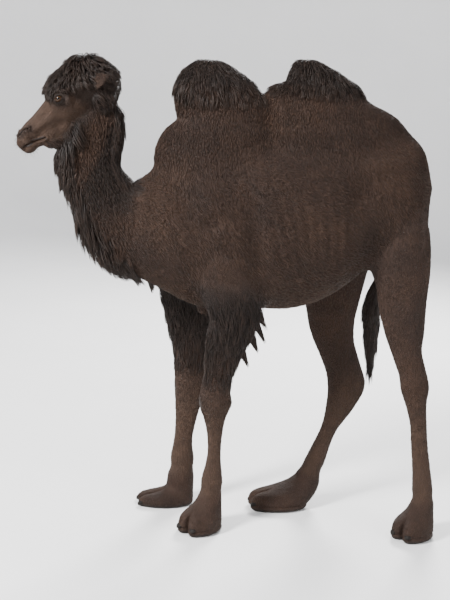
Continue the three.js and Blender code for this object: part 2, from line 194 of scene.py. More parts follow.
# Extra swellings joined to the skin before it is made one, in millimetres: centre, then three half sizes.
# A centre off the middle plane is repeated on the other side.
FLESH_BALLS = (
    ((-936, 19, 1783), (24, 23, 24)),  # upper lip, one lobe each side of the split
    ((-914, 0, 1757), (25, 29, 15)),  # lower lip
    ((-915, 36, 1830), (26, 17, 20)),  # flesh round the nostril
)

# Forms pressed into or raised from the body: x, y, z, reach along, across and up, rise (minus for a
# hollow), and the turn in degrees about the Y axis. All in millimetres. A y above 0 is repeated on the
# other side.
BODY_FORMS = (
    (-120, 275, 1600, 62, 90, 170, 19, 20),  # shoulder blade
    (-30, 285, 1360, 105, 90, 110, 18, 0),  # triceps
    (-235, 225, 1340, 60, 60, 80, 12, 0),  # point of the shoulder
    (90, 310, 1420, 46, 90, 200, -25, 12),  # hollow behind the shoulder
    (-20, 250, 1215, 120, 60, 26, -9, -10),  # fold over the elbow
    (575, 290, 1630, 85, 90, 95, -30, 0),  # flank hollow
    (560, 285, 1280, 46, 90, 130, -20, -26),  # flank fold
    (660, 235, 1760, 60, 60, 42, 15, 0),  # hip bone
    (930, 85, 1655, 40, 45, 45, 9, 0),  # pin bone
    (800, 265, 1480, 110, 90, 160, 15, 0),  # thigh
    (880, 215, 1430, 26, 80, 170, -14, -8),  # groove behind the thigh
    (-560, 85, 1560, 130, 40, 20, -13, -48),  # jugular groove
    (-440, 120, 1330, 80, 60, 60, 8, 0),  # foot of the neck
    (140, 190, 1800, 200, 90, 36, -4, 0),  # between back and humps
    (-245, 240, 1560, 34, 80, 150, -16, 26),  # groove before the shoulder
    (-110, 290, 1475, 60, 80, 34, -12, 0),  # between shoulder and triceps
    (700, 280, 1330, 34, 80, 150, -12, 14),  # groove along the thigh
    *((150 + 46 * rib, 340, 1420, 14, 120, 200, 4.6, 16 - 2 * rib) for rib in range(8)),  # ribs
    (-455, 0, 1648, 60, 70, 45, 20, 0),  # foot of the mane
)
# The same for one leg at a time, with the side in y.
LEG_FORMS = (
    (-96, -130, 628, 20, 40, 42, 6, 0), (-172, 210, 606, 20, 40, 42, 6, 0),  # knee pads
    (-30, -92, 610, 34, 16, 50, 4, 0), (-98, 170, 596, 34, 16, 50, 4, 0),  # inner knee
    (715, -262, 1225, 50, 60, 70, 7, 0), (470, 215, 1190, 55, 70, 70, 9, 0),  # stifles
    (960, -234, 735, 18, 26, 60, 6, 0), (768, 168, 632, 18, 26, 55, 6, 0),  # points of the hocks
    (905, -276, 735, 34, 14, 40, 4, 0), (664, 208, 630, 34, 14, 40, 4, 0),  # outer hocks
    (905, -190, 725, 34, 14, 40, 4, 0), (664, 130, 622, 34, 14, 40, 4, 0),  # inner hocks
    (925, -240, 590, 12, 70, 90, -4, 12), (690, 166, 800, 14, 70, 70, -5, -20),  # before the hocks' cords
    (130, -176, 1085, 40, 50, 45, 7, 0), (10, 206, 1120, 40, 50, 45, 7, 0),  # elbows
    (-28, -160, 400, 9, 12, 90, -3, 0), (-110, 172, 400, 9, 12, 90, -3, 0),  # groove between bone and cord
)
FACE_FORMS = (
    (-764, 82, 2011, 46, 26, 13, 15, 30),  # brow
    (-738, 92, 1988, 18, 22, 26, 8, 0),  # rim behind the eye
    (-788, 86, 1958, 34, 22, 9, 5, 25),  # rim under the eye
    (-812, 68, 1992, 14, 20, 15, -4, 30),  # inner corner
    (-838, 60, 1918, 46, 26, 24, -9, 43),  # hollow of the face
    (-852, 52, 1868, 52, 22, 13, 4, 38),  # ridge of the cheek
    (-716, 82, 1900, 50, 34, 46, 9, 60),  # jaw muscle
    (-775, 66, 1855, 30, 26, 22, -5, 43),  # hollow before the jaw
    (-868, 0, 1908, 40, 34, 18, -4, 43),  # dip of the nose
    (-912, 52, 1800, 24, 20, 22, 7, 43),  # side of the upper lip
    (-858, 56, 1812, 22, 16, 14, -3, 43),  # corner of the mouth
    (-908, 46, 1846, 26, 18, 15, 7, 40),  # wing of the nostril
    (-905, 28, 1741, 24, 20, 12, 4, 0),  # lower lip
)
# Lines cut into the face: their points, how deep, how wide, and the lip raised beside them. All in
# millimetres; a line off the middle plane is repeated on the other side.
FACE_LINES = (
    (((-947, 24, 1812), (-942, 36, 1824), (-928, 44, 1838), (-910, 47, 1846)), 15, 3.4, 3.5),  # nostril
    (((-944, 0, 1763), (-936, 24, 1763), (-916, 44, 1772), (-888, 54, 1789), (-860, 60, 1804),
      (-836, 62, 1811)), 8, 3.2, 1.8),  # mouth
    (((-942, 0, 1824), (-950, 0, 1796), (-944, 0, 1766)), 6, 3.4, 1.5),  # split of the upper lip
    (((-942, 0, 1824), (-945, 12, 1815), (-946, 22, 1812)), 3.5, 3.2, 1.0),  # from the split to the nostril
    (((-790, 70, 2003), (-770, 84, 2016), (-744, 92, 2008)), 2.5, 3.0, 0.0),  # fold over the eye
    (((-806, 74, 1966), (-782, 86, 1954), (-752, 92, 1962)), 2.5, 3.0, 0.5),  # fold under the eye
)
MOUTH, NOSTRIL = FACE_LINES[1][0], FACE_LINES[0][0]
BARE_SPOTS = (  # x, y, z, reach and how bare, for the worn pads
    (-98, -130, 626, 34, 0.7), (-174, 210, 604, 34, 0.7), (-20, 0, 1010, 85, 1.0),
    (138, -176, 1070, 30, 0.5), (18, 206, 1105, 30, 0.5),
)

# The lie of the hair by part: length, width and lift of a tuft in millimetres, and tufts for each square
# centimetre.
TUFTS = {
    "trunk": (30, 4.3, 6.5, 1.85), "front_hump": (31, 4.2, 6.8, 1.9), "rear_hump": (31, 4.2, 6.8, 1.9),
    "neck": (36, 4.0, 10, 2.2), "head": (13, 1.6, 2.6, 23), "lower_jaw": (13, 1.7, 2.8, 18),
    "crown": (34, 4.0, 12, 2.0), "ear_left": (20, 2.6, 3.5, 6.0), "tail": (32, 3.8, 7, 2.2),
    **{leg: (21, 3.3, 3.0, 2.7) for leg in LEGS}, "foot": (13, 2.5, 2.6, 2.8),
}

# Long hair: part, stretch along it (0 to 1), arc round it in degrees (90 is above or behind, -90 below or
# ahead), locks, length, width, lift and wave in millimetres, how far it hangs (0 to 1), darkness (0 to 1).
LONG_HAIR = (
    ("crown", 0.0, 1.0, -180, 180, 4600, 60, 5.1, 31, 8, 0.10, 0.9),
    ("neck", -0.15, 0.98, 45, 135, 2300, 84, 4.8, 28, 7, 0.30, 0.9),
    ("neck", -0.12, 0.44, -155, -25, 2000, 126, 5.0, 54, 8, 0.75, 0.9),
    ("neck", 0.34, 0.72, -155, -25, 1300, 104, 5.0, 40, 8, 0.75, 0.9),
    ("neck", 0.64, 1.0, -150, -30, 1100, 74, 5.0, 20, 7, 0.70, 0.9),
    ("lower_jaw", 0.36, 1.1, -160, -20, 900, 62, 3.6, 26, 5, 0.85, 0.8),
    ("front_hump", 0.0, 0.36, -180, 180, 1900, 54, 4.4, 14, 6, 0.20, 0.7),
    ("rear_hump", 0.0, 0.32, -180, 180, 1900, 54, 4.4, 14, 6, 0.20, 0.7),
    ("fore_left", 0.26, 0.62, -180, 180, 2000, 78, 4.6, 12, 6, 0.45, 0.8),
    ("fore_right", 0.26, 0.62, -180, 180, 2000, 78, 4.6, 12, 6, 0.45, 0.8),
    ("tail", 0.30, 1.0, -180, 180, 1900, 140, 4.8, 10, 7, 0.55, 1.0),
    ("head", 0.50, 0.80, 10, 170, 900, 26, 3.0, 7, 3, 0.0, 0.6),
)
WHORL = (-672, 0, 2165)  # where the crown's hair parts to all sides
# Locks that break the outline: root and tip in millimetres, radius at the root, strands, darkness.
LOCKS = (
    ((96, -172, 1140), (186, -172, 985), 27, 120, 0.8),
    ((94, -176, 1090), (178, -180, 930), 26, 120, 0.8),
    ((80, -168, 1020), (150, -172, 880), 24, 108, 0.8),
    ((50, -160, 950), (112, -164, 806), 20, 88, 0.8),
    ((-425, 0, 1240), (-392, 4, 1146), 34, 120, 0.9),
    ((-350, -20, 1210), (-331, -16, 1120), 22, 72, 0.9),
    ((-745, 0, 1670), (-766, 0, 1566), 18, 60, 0.9),
)
LOCK_STRAND, LASH_STRAND, WHISKER_STRAND = 0.0052, 0.0011, 0.0009  # widths in metres
PATCH = 0.003  # how wide a tuft's patch is in the unwrap
LONG_CLEAR, SHORT_CLEAR = 0.031, 0.0195  # how near the eye's line long and short hair may come, in metres
LONG_PLACES, SHORT_PLACES = 5, 3  # places along a hair's centre line
ROOT_STEP = (0.7548776662, 0.5698402910)  # 1 over the plastic ratio, and that squared: evenly spread roots
DARK_HAIR = (1.0, 0.0, 0.0)  # the marks of a hair that is all dark
MOST_TRIANGLES = 195_000  # of one piece of the short coat
SHORT_COAT = (  # piece, parts, side, slot
    ("coat_trunk_left", ("trunk",), LEFT, "coat"),
    ("coat_trunk_right", ("trunk",), RIGHT, "coat"),
    *(("coat_" + part, (part,), 0, "coat") for part in ("front_hump", "rear_hump", "neck", "tail", "crown")),
    ("coat_ears", ("ear_left", "ear_right"), 0, "face_coat"),
    ("coat_head_left", ("head",), LEFT, "face_coat"),
    ("coat_head_right", ("head",), RIGHT, "face_coat"),
    ("coat_lower_jaw", ("lower_jaw",), 0, "face_coat"),
    *(("coat_" + leg, (leg,), 0, "coat") for leg in LEGS),
    ("coat_feet", tuple(leg + "_foot" for leg in LEGS), 0, "coat"),
)

BODY_PARTS = (
    "trunk", "front_hump", "rear_hump", "neck", "tail", *LEGS, *(leg + "_foot" for leg in LEGS),
)
FACE_PARTS = ("head", "lower_jaw", "crown", "ear_left", "ear_right")
# How wide each part flows into its neighbours, in metres.
FLOW = {
    "trunk": 0.075, "front_hump": 0.085, "rear_hump": 0.085, "neck": 0.075, "tail": 0.04,
    "fore_left": 0.07, "fore_right": 0.07, "hind_left": 0.08, "hind_right": 0.08,
    **{leg + "_foot": 0.025 for leg in LEGS},
    "head": 0.03, "lower_jaw": 0.02, "crown": 0.04, "ear_left": 0.02, "ear_right": 0.02,
}
# Each part's rectangle in the unwrap: left, bottom, width, height.
UNWRAP = {
    "trunk": (0.0, 0.5, 0.55, 0.5), "front_hump": (0.55, 0.75, 0.225, 0.25),
    "rear_hump": (0.775, 0.75, 0.225, 0.25), "neck": (0.55, 0.5, 0.25, 0.25), "tail": (0.8, 0.5, 0.2, 0.25),
    "head": (0.0, 0.22, 0.34, 0.28), "lower_jaw": (0.34, 0.22, 0.16, 0.28), "crown": (0.5, 0.22, 0.2, 0.28),
    "ear_left": (0.7, 0.22, 0.15, 0.28), "ear_right": (0.85, 0.22, 0.15, 0.28),
    **{leg: (0.17 * place, 0.0, 0.17, 0.22) for place, leg in enumerate(LEGS)},
    **{leg + "_foot": (0.68 + 0.08 * place, 0.0, 0.08, 0.22) for place, leg in enumerate(LEGS)},
}

LIGHTS = (  # name, place, size in metres, power in watts
    ("key", (-5.0, -3.0, 4.7), 1.6, 1300.0),
    ("fill", (4.4, -4.4, 2.6), 3.2, 160.0),
    ("rim", (2.6, 5.0, 4.8), 2.2, 950.0),
)
LIT_HEIGHT = 1.2  # all the lights aim at this height over the middle of the floor, in metres
CAMERA = dict(place=(-0.92161, -5.09352, 2.15), heading=10.0, down=11.6, roll=3.0)
FLOOR_LEVEL = -0.0008
RIM_BROWN, BALL_BROWN, PUPIL_BLACK = (0.006, 0.004, 0.003), (0.05, 0.028, 0.018), (0.002, 0.002, 0.002)

FLESH = [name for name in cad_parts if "nail" not in name and not name.startswith("eye")]
made = {}  # what one operator leaves for the next: the skin's arrays


# ---------------------------------------- curves and tubes


class Tube:
    """A part's outline: centres along a spine, the directions across, along and normal there, and the
    section's half width and its reach above and below."""

    def __init__(self, centre, reach, across, along=None, cleft=None):
        self.centre, self.reach = centre, reach
        step = np.gradient(centre, axis=0)
        tangent = step if along is None else np.broadcast_to(along, step.shape)
        self.tangent = unit(tangent)
        self.across = np.broadcast_to(across, centre.shape)
        self.normal = unit(np.cross(self.tangent, self.across))
        self.cleft = np.zeros(len(centre)) if cleft is None else cleft
        self.along = np.concatenate([[0], np.cumsum(np.linalg.norm(np.diff(centre, axis=0), axis=1))])


def unit(v):
    """Each vector over its own length."""
    return v / np.maximum(np.linalg.norm(v, axis=-1, keepdims=True), 1e-12)


def round_angles(sides):
    """Angles evenly round a circle."""
    return np.arange(sides) / sides * TAU


def smoothed(rows, count):
    """`count` rows evenly along a table: a cubic through every row, whose slope at a row is the mean of the
    slopes on its two sides, where the nearer side weighs more."""
    rows = np.asarray(rows, float)
    gap = np.maximum(np.linalg.norm(np.diff(rows[:, :3], axis=0), axis=1), 1e-9)
    start = np.concatenate([[0], np.cumsum(gap)])
    rise = np.diff(rows, axis=0) / gap[:, None]
    slope = np.vstack([rise[:1], rise, rise[-1:]])
    near = np.concatenate([gap[:1], gap, gap[-1:]])[:, None]
    slope = (slope[:-1] * near[1:] + slope[1:] * near[:-1]) / (near[1:] + near[:-1])
    at = np.linspace(0, start[-1], count)
    i = np.clip(np.searchsorted(start, at, side="right") - 1, 0, len(gap) - 1)
    f = ((at - start[i]) / gap[i])[:, None]
    h = gap[i][:, None]
    return (
        rows[i] * (1 + 2 * f) * (1 - f) ** 2 + slope[i] * h * f * (1 - f) ** 2
        + rows[i + 1] * f**2 * (3 - 2 * f) + slope[i + 1] * h * f**2 * (f - 1)
    )


def part_tube(name, depth=(0, 0, 0), count=72):
    """A part's tube from its station table, drawn in on every side by the coat's depth."""
    rows = smoothed(STATIONS[name], count) * MM
    depth = np.asarray(depth) * MM
    reach = np.maximum(rows[:, 3:] - depth, 0.25 * rows[:, 3:])
    centre = rows[:, :3] + SHIFT
    along = {"trunk": (1, 0, 0), "front_hump": -UP, "rear_hump": -UP}.get(name)
    tube = Tube(centre, reach, (0, 1, 0), along)
    ends = depth[0] * np.array([1, -1])
    tube.centre[[0, -1]] += tube.tangent[[0, -1]] * ends[:, None]
    return tube


def foot_tube(name, depth=0, count=30):
    """A foot's tube: rings from the fetlock's circle to the sole's outline, whose front, back and width
    each follow their own share, cleft between the toes."""
    foot = FEET[name]
    rings = smoothed(STATIONS["foot_rings"], 4 * count)
    share = np.linspace(0, 1, count)
    keep = np.interp(share, np.linspace(0, 1, 4 * count), np.arange(4 * count)).astype(int)
    z, front, back, wide, cleft = rings[keep].T
    angle = np.radians(foot["turn"]) * foot["side"]
    behind = np.array([np.cos(angle), -np.sin(angle), 0.0])
    across = np.cross(behind, -UP)
    height = np.where(z < 150, z * foot["rise"], z)
    ankle, pad = np.array([*foot["fetlock"], 0.0]), np.array([*foot["sole"], 0.0])

    def reach_to(share, sign):
        """A point of the ring's front or back: from the fetlock's rim to the sole's by its share."""
        rim = ankle + behind * foot["radius"] * sign
        return rim + (pad + behind * foot["length"] * sign - rim) * share[:, None]

    toe, heel = reach_to(front, -1), reach_to(back, 1)
    centre = (toe + heel) / 2 + height[:, None] * UP
    half = np.linalg.norm(toe - heel, axis=1) / 2 - depth
    wide = foot["radius"] + (foot["width"] - foot["radius"]) * wide - depth
    reach = np.stack([wide, half, half], axis=1)
    return Tube(centre * MM + SHIFT, reach * MM, across, -UP, cleft * 1.5)


def grid_faces(rows, columns, closed_rows=False):
    """Quads of a grid that is closed round its columns, and along its rows too where asked."""
    i = np.arange(rows if closed_rows else rows - 1)
    i, j = np.meshgrid(i, np.arange(columns), indexing="ij")
    down, over = (i + 1) % rows, (j + 1) % columns
    quads = [i * columns + j, i * columns + over, down * columns + over, down * columns + j]
    return np.stack(quads, -1).reshape(-1, 4)


def closed_faces(rows, sides):
    """Faces of rings closed at both ends by a point: the first end's point is numbered next after the
    rings, and the last end's after that."""
    j = np.arange(sides)
    k, end = (j + 1) % sides, (rows - 1) * sides
    first, last = np.full(sides, rows * sides), np.full(sides, rows * sides + 1)
    caps = np.concatenate([np.stack([first, k, j], -1), np.stack([last, end + j, end + k], -1)])
    return grid_faces(rows, sides).tolist() + caps.tolist()


def tube_surface(tube, sides=48):
    """Closed surface of a tube. Point (i, a) is centre i plus across times half width times cos a, plus
    normal times the reach above or below times sin a. A cleft draws in the ahead side where cos a is near
    0."""
    angle = round_angles(sides)
    cos, sin = np.cos(angle)[None], np.sin(angle)[None]
    reach = np.where(sin > 0, tube.reach[:, 1:2], tube.reach[:, 2:3])
    notch = 1 - tube.cleft[:, None] * np.exp(-((cos / 0.2) ** 2)) * (sin < 0)
    ring = (
        tube.centre[:, None] + tube.across[:, None] * (tube.reach[:, :1] * cos)[..., None]
        + tube.normal[:, None] * (reach * sin * notch)[..., None]
    )
    points = np.concatenate([ring.reshape(-1, 3), tube.centre[:1], tube.centre[-1:]])
    return points, closed_faces(len(ring), sides)


def ball_surface(centre, half, rows=20, sides=28):
    """A ball: centre plus its half sizes times (sin p cos a, sin p sin a, cos p)."""
    polar = np.linspace(0.02, np.pi - 0.02, rows)
    spine = np.zeros((rows, 3))
    spine[:, 2] = -np.cos(polar) * half[2]
    reach = np.stack([np.sin(polar) * half[1], np.sin(polar) * half[0], np.sin(polar) * half[0]], 1)
    return tube_surface(Tube((spine + centre) * MM + SHIFT, reach * MM, (0, 1, 0), UP), sides)


def gathered(surfaces):
    """Several surfaces as one list of points and faces."""
    points, faces, count = [], [], 0
    for own_points, own_faces in surfaces:
        points.append(own_points)
        faces += [[corner + count for corner in face] for face in own_faces]
        count += len(own_points)
    return np.concatenate(points), faces


def mirrored(point):
    """A point and its twin on the other side, or itself alone on the middle plane."""
    x, y, z = point
    return [(x, y, z), (x, -y, z)] if y else [(x, y, z)]


# ---------------------------------------- mesh helpers


def new_piece(name, points, faces, materials=()):
    """An object of the scene with its place in its mesh, at the origin."""
    mesh = bpy.data.meshes.new(name)
    mesh.from_pydata(points, [], faces)
    for material in materials:
        mesh.materials.append(material)
    piece = bpy.data.objects.new(name, mesh)
    bpy.context.scene.collection.objects.link(piece)
    mesh.shade_smooth()
    return piece


def applied(piece, modifier, **settings):
    """The piece's mesh after one modifier, which isn't kept."""
    added = piece.modifiers.new(modifier, modifier)
    for key, value in settings.items():
        setattr(added, key, value)
    graph = bpy.context.evaluated_depsgraph_get()
    mesh = bpy.data.meshes.new_from_object(piece.evaluated_get(graph))
    old = piece.data
    piece.modifiers.clear()
    piece.data = mesh
    bpy.data.meshes.remove(old)
    return mesh


def plain(values):
    """Values as one row of short floats, as a mesh takes them."""
    return values.astype(np.float32).ravel()


def coordinates(mesh):
    """The mesh's points as an array."""
    points = np.empty(len(mesh.vertices) * 3, np.float32)
    mesh.vertices.foreach_get("co", points)
    return points.reshape(-1, 3).astype(float)


def edge_pairs(mesh):
    """The mesh's edges as pairs of point numbers."""
    edges = np.empty(len(mesh.edges) * 2, np.int32)
    mesh.edges.foreach_get("vertices", edges)
    return edges.reshape(-1, 2)


def triangles(mesh):
    """The mesh's triangles as point numbers and as loops."""
    mesh.calc_loop_triangles()
    corner, loop = np.empty((2, len(mesh.loop_triangles) * 3), np.int32)
    mesh.loop_triangles.foreach_get("vertices", corner)
    mesh.loop_triangles.foreach_get("loops", loop)
    return corner.reshape(-1, 3), loop.reshape(-1, 3)


def point_normals(points, corner):
    """Each point's normal: the sum of its triangles' area vectors, made of length 1."""
    a, b, c = points[corner[:, 0]], points[corner[:, 1]], points[corner[:, 2]]
    area = np.cross(b - a, c - a)
    total = np.stack([
        sum(np.bincount(corner[:, k], area[:, axis], len(points)) for k in range(3)) for axis in range(3)
    ], 1)
    return unit(total)


def relaxed(values, edges, weight, rounds):
    """Each value moved towards the mean of its neighbours by its weight, so many times over."""
    values = values.copy()
    weight = np.broadcast_to(weight, len(values))[:, None]
    degree = np.maximum(np.bincount(edges.ravel(), minlength=len(values)), 1)
    for _ in range(rounds):
        mean = np.stack([
            np.bincount(edges[:, 0], values[edges[:, 1], k], len(values))
            + np.bincount(edges[:, 1], values[edges[:, 0], k], len(values)) for k in range(values.shape[1])
        ], 1) / degree[:, None]
        values += weight * (mean - values)
    return values


def pressed(points, normals, forms, one_side=False):
    """Points moved along their normals by the sum of the forms, each a rise times e to the minus squared
    distance over its reaches, turned about the Y axis."""
    rise = np.zeros(len(points))
    for x, y, z, long, wide, high, height, turn in forms:
        for centre in ([(x, y, z)] if one_side else mirrored((x, y, z))):
            offset = points - (np.array(centre) * MM + SHIFT)
            cos, sin = np.cos(np.radians(turn)), np.sin(np.radians(turn))
            ahead = offset[:, 0] * cos + offset[:, 2] * sin
            above = offset[:, 2] * cos - offset[:, 0] * sin
            far = (ahead / long) ** 2 + (offset[:, 1] / wide) ** 2 + (above / high) ** 2
            rise += height * MM * np.exp(-far / MM**2)
    return points + normals * rise[:, None]


def on_skin(points, path):
    """A path's points in millimetres, put closer together and moved to the nearest points of the skin."""
    path = np.asarray(path, float) * MM + SHIFT
    share = np.linspace(0, 1, 5)[:-1, None]
    stretches = [start + (end - start) * share for start, end in zip(path[:-1], path[1:])]
    fine = np.concatenate(stretches + [path[-1:]])
    close = points[np.linalg.norm(points - path.mean(0), axis=1) < 0.16]
    return np.stack([close[((close - place) ** 2).sum(1).argmin()] for place in fine])


def distance_to_path(points, path):
    """How far each point is from a chain of straight stretches."""
    nearest = np.full(len(points), np.inf)
    for start, end in zip(path[:-1], path[1:]):
        line = end - start
        share = np.clip(((points - start) @ line) / max(line @ line, 1e-12), 0, 1)
        nearest = np.minimum(nearest, np.linalg.norm(points - start - share[:, None] * line, axis=1))
    return nearest


# ---------------------------------------- the one skin


def ear_tube(side, count=24):
    """An ear's tube from root to tip: a leaf whose half width swells and rounds off, thin from front to
    back, and curled forward."""
    root = np.array(EAR["root"]) * (1, -side * LEFT, 1)
    tip = np.array(EAR["tip"]) * (1, -side * LEFT, 1)
    share = np.linspace(0, 1, count)
    bend = np.sin(share * np.pi)[:, None] * np.array([-7.0, 0, 3.0])
    centre = root + (tip - root) * share[:, None] + bend
    half = EAR["half_width"] * np.sqrt(np.clip(1 - (2 * np.clip(share, 0.02, 0.99) ** 1.25 - 1) ** 2, 0, 1))
    half = np.maximum(half, EAR["half_width"] * 0.62 * (share < 0.5))
    thick = EAR["thickness"] * (1.6 - 0.7 * share)
    across = unit(np.cross(tip - root, [-0.75, side * 0.66, 0.0]))
    return Tube(centre * MM + SHIFT, np.stack([half, thick, thick], 1) * MM, across)


def ear_surface(tube, side, sides=32):
    """An ear: its tube's rings, with the middle of each ring pushed back by a share of its width, so that
    the leaf is hollow towards the front."""
    points, faces = tube_surface(tube, sides)
    share, angle, _ = located(tube, points)
    half = np.interp(share, np.linspace(0, 1, len(tube.reach)), tube.reach[:, 0])
    hollow = (1 - np.cos(angle) ** 2) * half * 0.42 * np.clip(share * 4, 0, 1)
    return points + hollow[:, None] * unit(np.array([0.75, -side * 0.66, 0.1])), faces


def located(tube, points):
    """Where points lie on a tube: the share along it, the angle round it, and about how far outside it they
    are. The section is the nearest one, moved along the tube by the offset along its tangent."""
    tangent = tube.tangent
    if np.allclose(tangent, tangent[0]):
        place = np.interp(points @ tangent[0], tube.centre @ tangent[0], tube.along)
    else:
        square = (points**2).sum(1)[:, None] - 2 * points @ tube.centre.T + (tube.centre**2).sum(1)
        near = square.argmin(1)
        place = tube.along[near] + ((points - tube.centre[near]) * tangent[near]).sum(1)
    place = np.clip(place, 0, tube.along[-1])

    def at(values):
        """A value of the tube at each point's place."""
        return np.stack([np.interp(place, tube.along, column) for column in values.T], 1)

    offset = points - at(tube.centre)
    reach = at(tube.reach)
    side = (offset * at(tube.across)).sum(1)
    above = (offset * at(tube.normal)).sum(1)
    end = np.abs((offset * at(tangent)).sum(1))
    upright = np.where(above > 0, reach[:, 1], reach[:, 2])
    rho = np.maximum(np.hypot(side / reach[:, 0], above / upright), 1e-6)
    outside = np.hypot(side, above) * (1 - 1 / rho)
    outside = np.where(end > 0.002, np.hypot(np.maximum(outside, 0), end), outside)
    return place / tube.along[-1], np.arctan2(above / upright, side / reach[:, 0]), outside


def distances(points, tubes, names):
    """How far each point is outside each named part, one column for each; 1 m where it is nowhere near."""
    table = np.ones((len(points), len(names)))
    for column, name in enumerate(names):
        tube = tubes[name]
        low = (tube.centre - tube.reach.max(1)[:, None]).min(0) - 0.12
        high = (tube.centre + tube.reach.max(1)[:, None]).max(0) + 0.12
        close = np.flatnonzero(((points > low) & (points < high)).all(1))
        if len(close):
            table[close, column] = located(tube, points[close])[2]
    return table


def flowing(points, tubes, names):
    """How much each point gives way where parts meet: 1 on the line where two parts cross, falling to 0 as
    far off as the wider of the two flows."""
    table = distances(points, tubes, names)
    reach = np.array([FLOW[name] for name in names])
    order = np.argsort(table, axis=1)[:, :2]
    rows = np.arange(len(points))
    gap = np.maximum(table[rows, order[:, 1]], 0)
    wide = np.minimum(reach[order[:, 0]], reach[order[:, 1]])
    share = np.clip(1 - gap / wide, 0, 1)
    return share * share * (3 - 2 * share)


def eye_frame(side):
    """The eye's centre in metres, and its gaze, the way to the nose and the way up, each of length 1."""
    x, y, z = EYE["at"]
    centre = np.array([x, y * side, z]) * MM + SHIFT
    gaze = unit(np.array([-0.34, side * 0.93, 0.06]))
    nose = np.array([-0.91, 0, -0.42])
    nose = unit(nose - gaze * (gaze @ nose))
    return centre, gaze, nose, unit(np.cross(nose, gaze) * side)


def socket_pressed(points):
    """Points round each eye: inside the lids' opening they are drawn in to the socket's depth, and
    from there out they rise to meet the lids."""
    points = points.copy()
    for side in (LEFT, RIGHT):
        centre, gaze, _, _ = eye_frame(side)
        offset = points - centre
        far = np.linalg.norm(offset, axis=1)
        polar = np.degrees(np.arccos(np.clip((offset @ gaze) / np.maximum(far, 1e-9), -1, 1)))
        deep = np.clip((66 - polar) / 14, 0, 1) * (far < 0.05)
        points += (np.minimum(SOCKET * MM - far, 0) * deep / np.maximum(far, 1e-9))[:, None] * offset
    return points


def refined(piece, paths, radius):
    """The piece's faces split in four within a radius in metres of any of the paths; a path may be one
    point."""
    points, edges = coordinates(piece.data), edge_pairs(piece.data)
    inside = np.zeros(len(points), bool)
    for path in paths:
        path = np.atleast_2d(path)
        low, high = path.min(0) - radius, path.max(0) + radius
        close = np.flatnonzero(((points > low) & (points < high)).all(1))
        inside[close] |= distance_to_path(points[close], np.vstack([path, path[-1:]])) < radius
    shape = bmesh.new()
    shape.from_mesh(piece.data)
    shape.edges.ensure_lookup_table()
    chosen = [shape.edges[row] for row in np.flatnonzero(inside[edges].all(1)).tolist()]
    bmesh.ops.subdivide_edges(shape, edges=chosen, cuts=1, use_grid_fill=True)
    shape.to_mesh(piece.data)
    shape.free()


def face_lines(points):
    """The lines cut into the face, laid on the skin, each with its depth, its width and its lip."""
    lines = []
    for path, *cut in FACE_LINES:
        for hand in ((1, -1) if path[-1][1] else (1,)):
            lines.append((on_skin(points, np.array(path) * (1, hand, 1)), cut))
    return lines


def moved(piece, points):
    """The piece's mesh with its points put at new places."""
    piece.data.vertices.foreach_set("co", plain(points))
    piece.data.update()


def foot_axes(foot):
    """A foot's way ahead and its way across, level and of length 1."""
    angle = np.radians(foot["turn"]) * foot["side"]
    ahead = np.array([-np.cos(angle), np.sin(angle), 0.0])
    return ahead, np.array([-ahead[1], ahead[0], 0.0])


def toe_tips():
    """The front of each foot, in metres."""
    return [
        (np.array([*foot["sole"], 45.0]) + foot_axes(foot)[0] * 0.75 * foot["length"]) * MM + SHIFT
        for foot in FEET.values()
    ]


def toes_pressed(points, normals):
    """Feet given two toes: a cleft along the middle of the front and the top, a toe's swell on each side of
    it, and a crease round the edge of the pad."""
    points = points.copy()
    for foot in FEET.values():
        ahead, across = foot_axes(foot)
        offset = (points - SHIFT) / MM - [*foot["sole"], 0.0]
        forward, sideways, height = offset @ ahead, offset @ across, points[:, 2] / MM
        long, wide = foot["length"], foot["width"]
        near = (np.hypot(forward / long, sideways / wide) < 1.25) & (height < 120)
        front = np.clip((forward / long + 0.05) / 0.5, 0, 1) * near
        low = np.clip((112 - height) / 40, 0, 1)
        cleft = 15 * front * low * np.exp(-((sideways / 7.5) ** 2))
        swell = 5.5 * front * low * np.exp(-(((np.abs(sideways) - 0.45 * wide) / (0.26 * wide)) ** 2))
        crease = 3.0 * near * np.exp(-(((height - 27 * foot["rise"]) / 4.5) ** 2))
        pad = 2.5 * near * np.exp(-(((height - 13) / 9) ** 2))
        points += normals * ((swell + pad - cleft - crease) * MM)[:, None] * (np.abs(normals[:, 2:]) < 0.98)
    return points


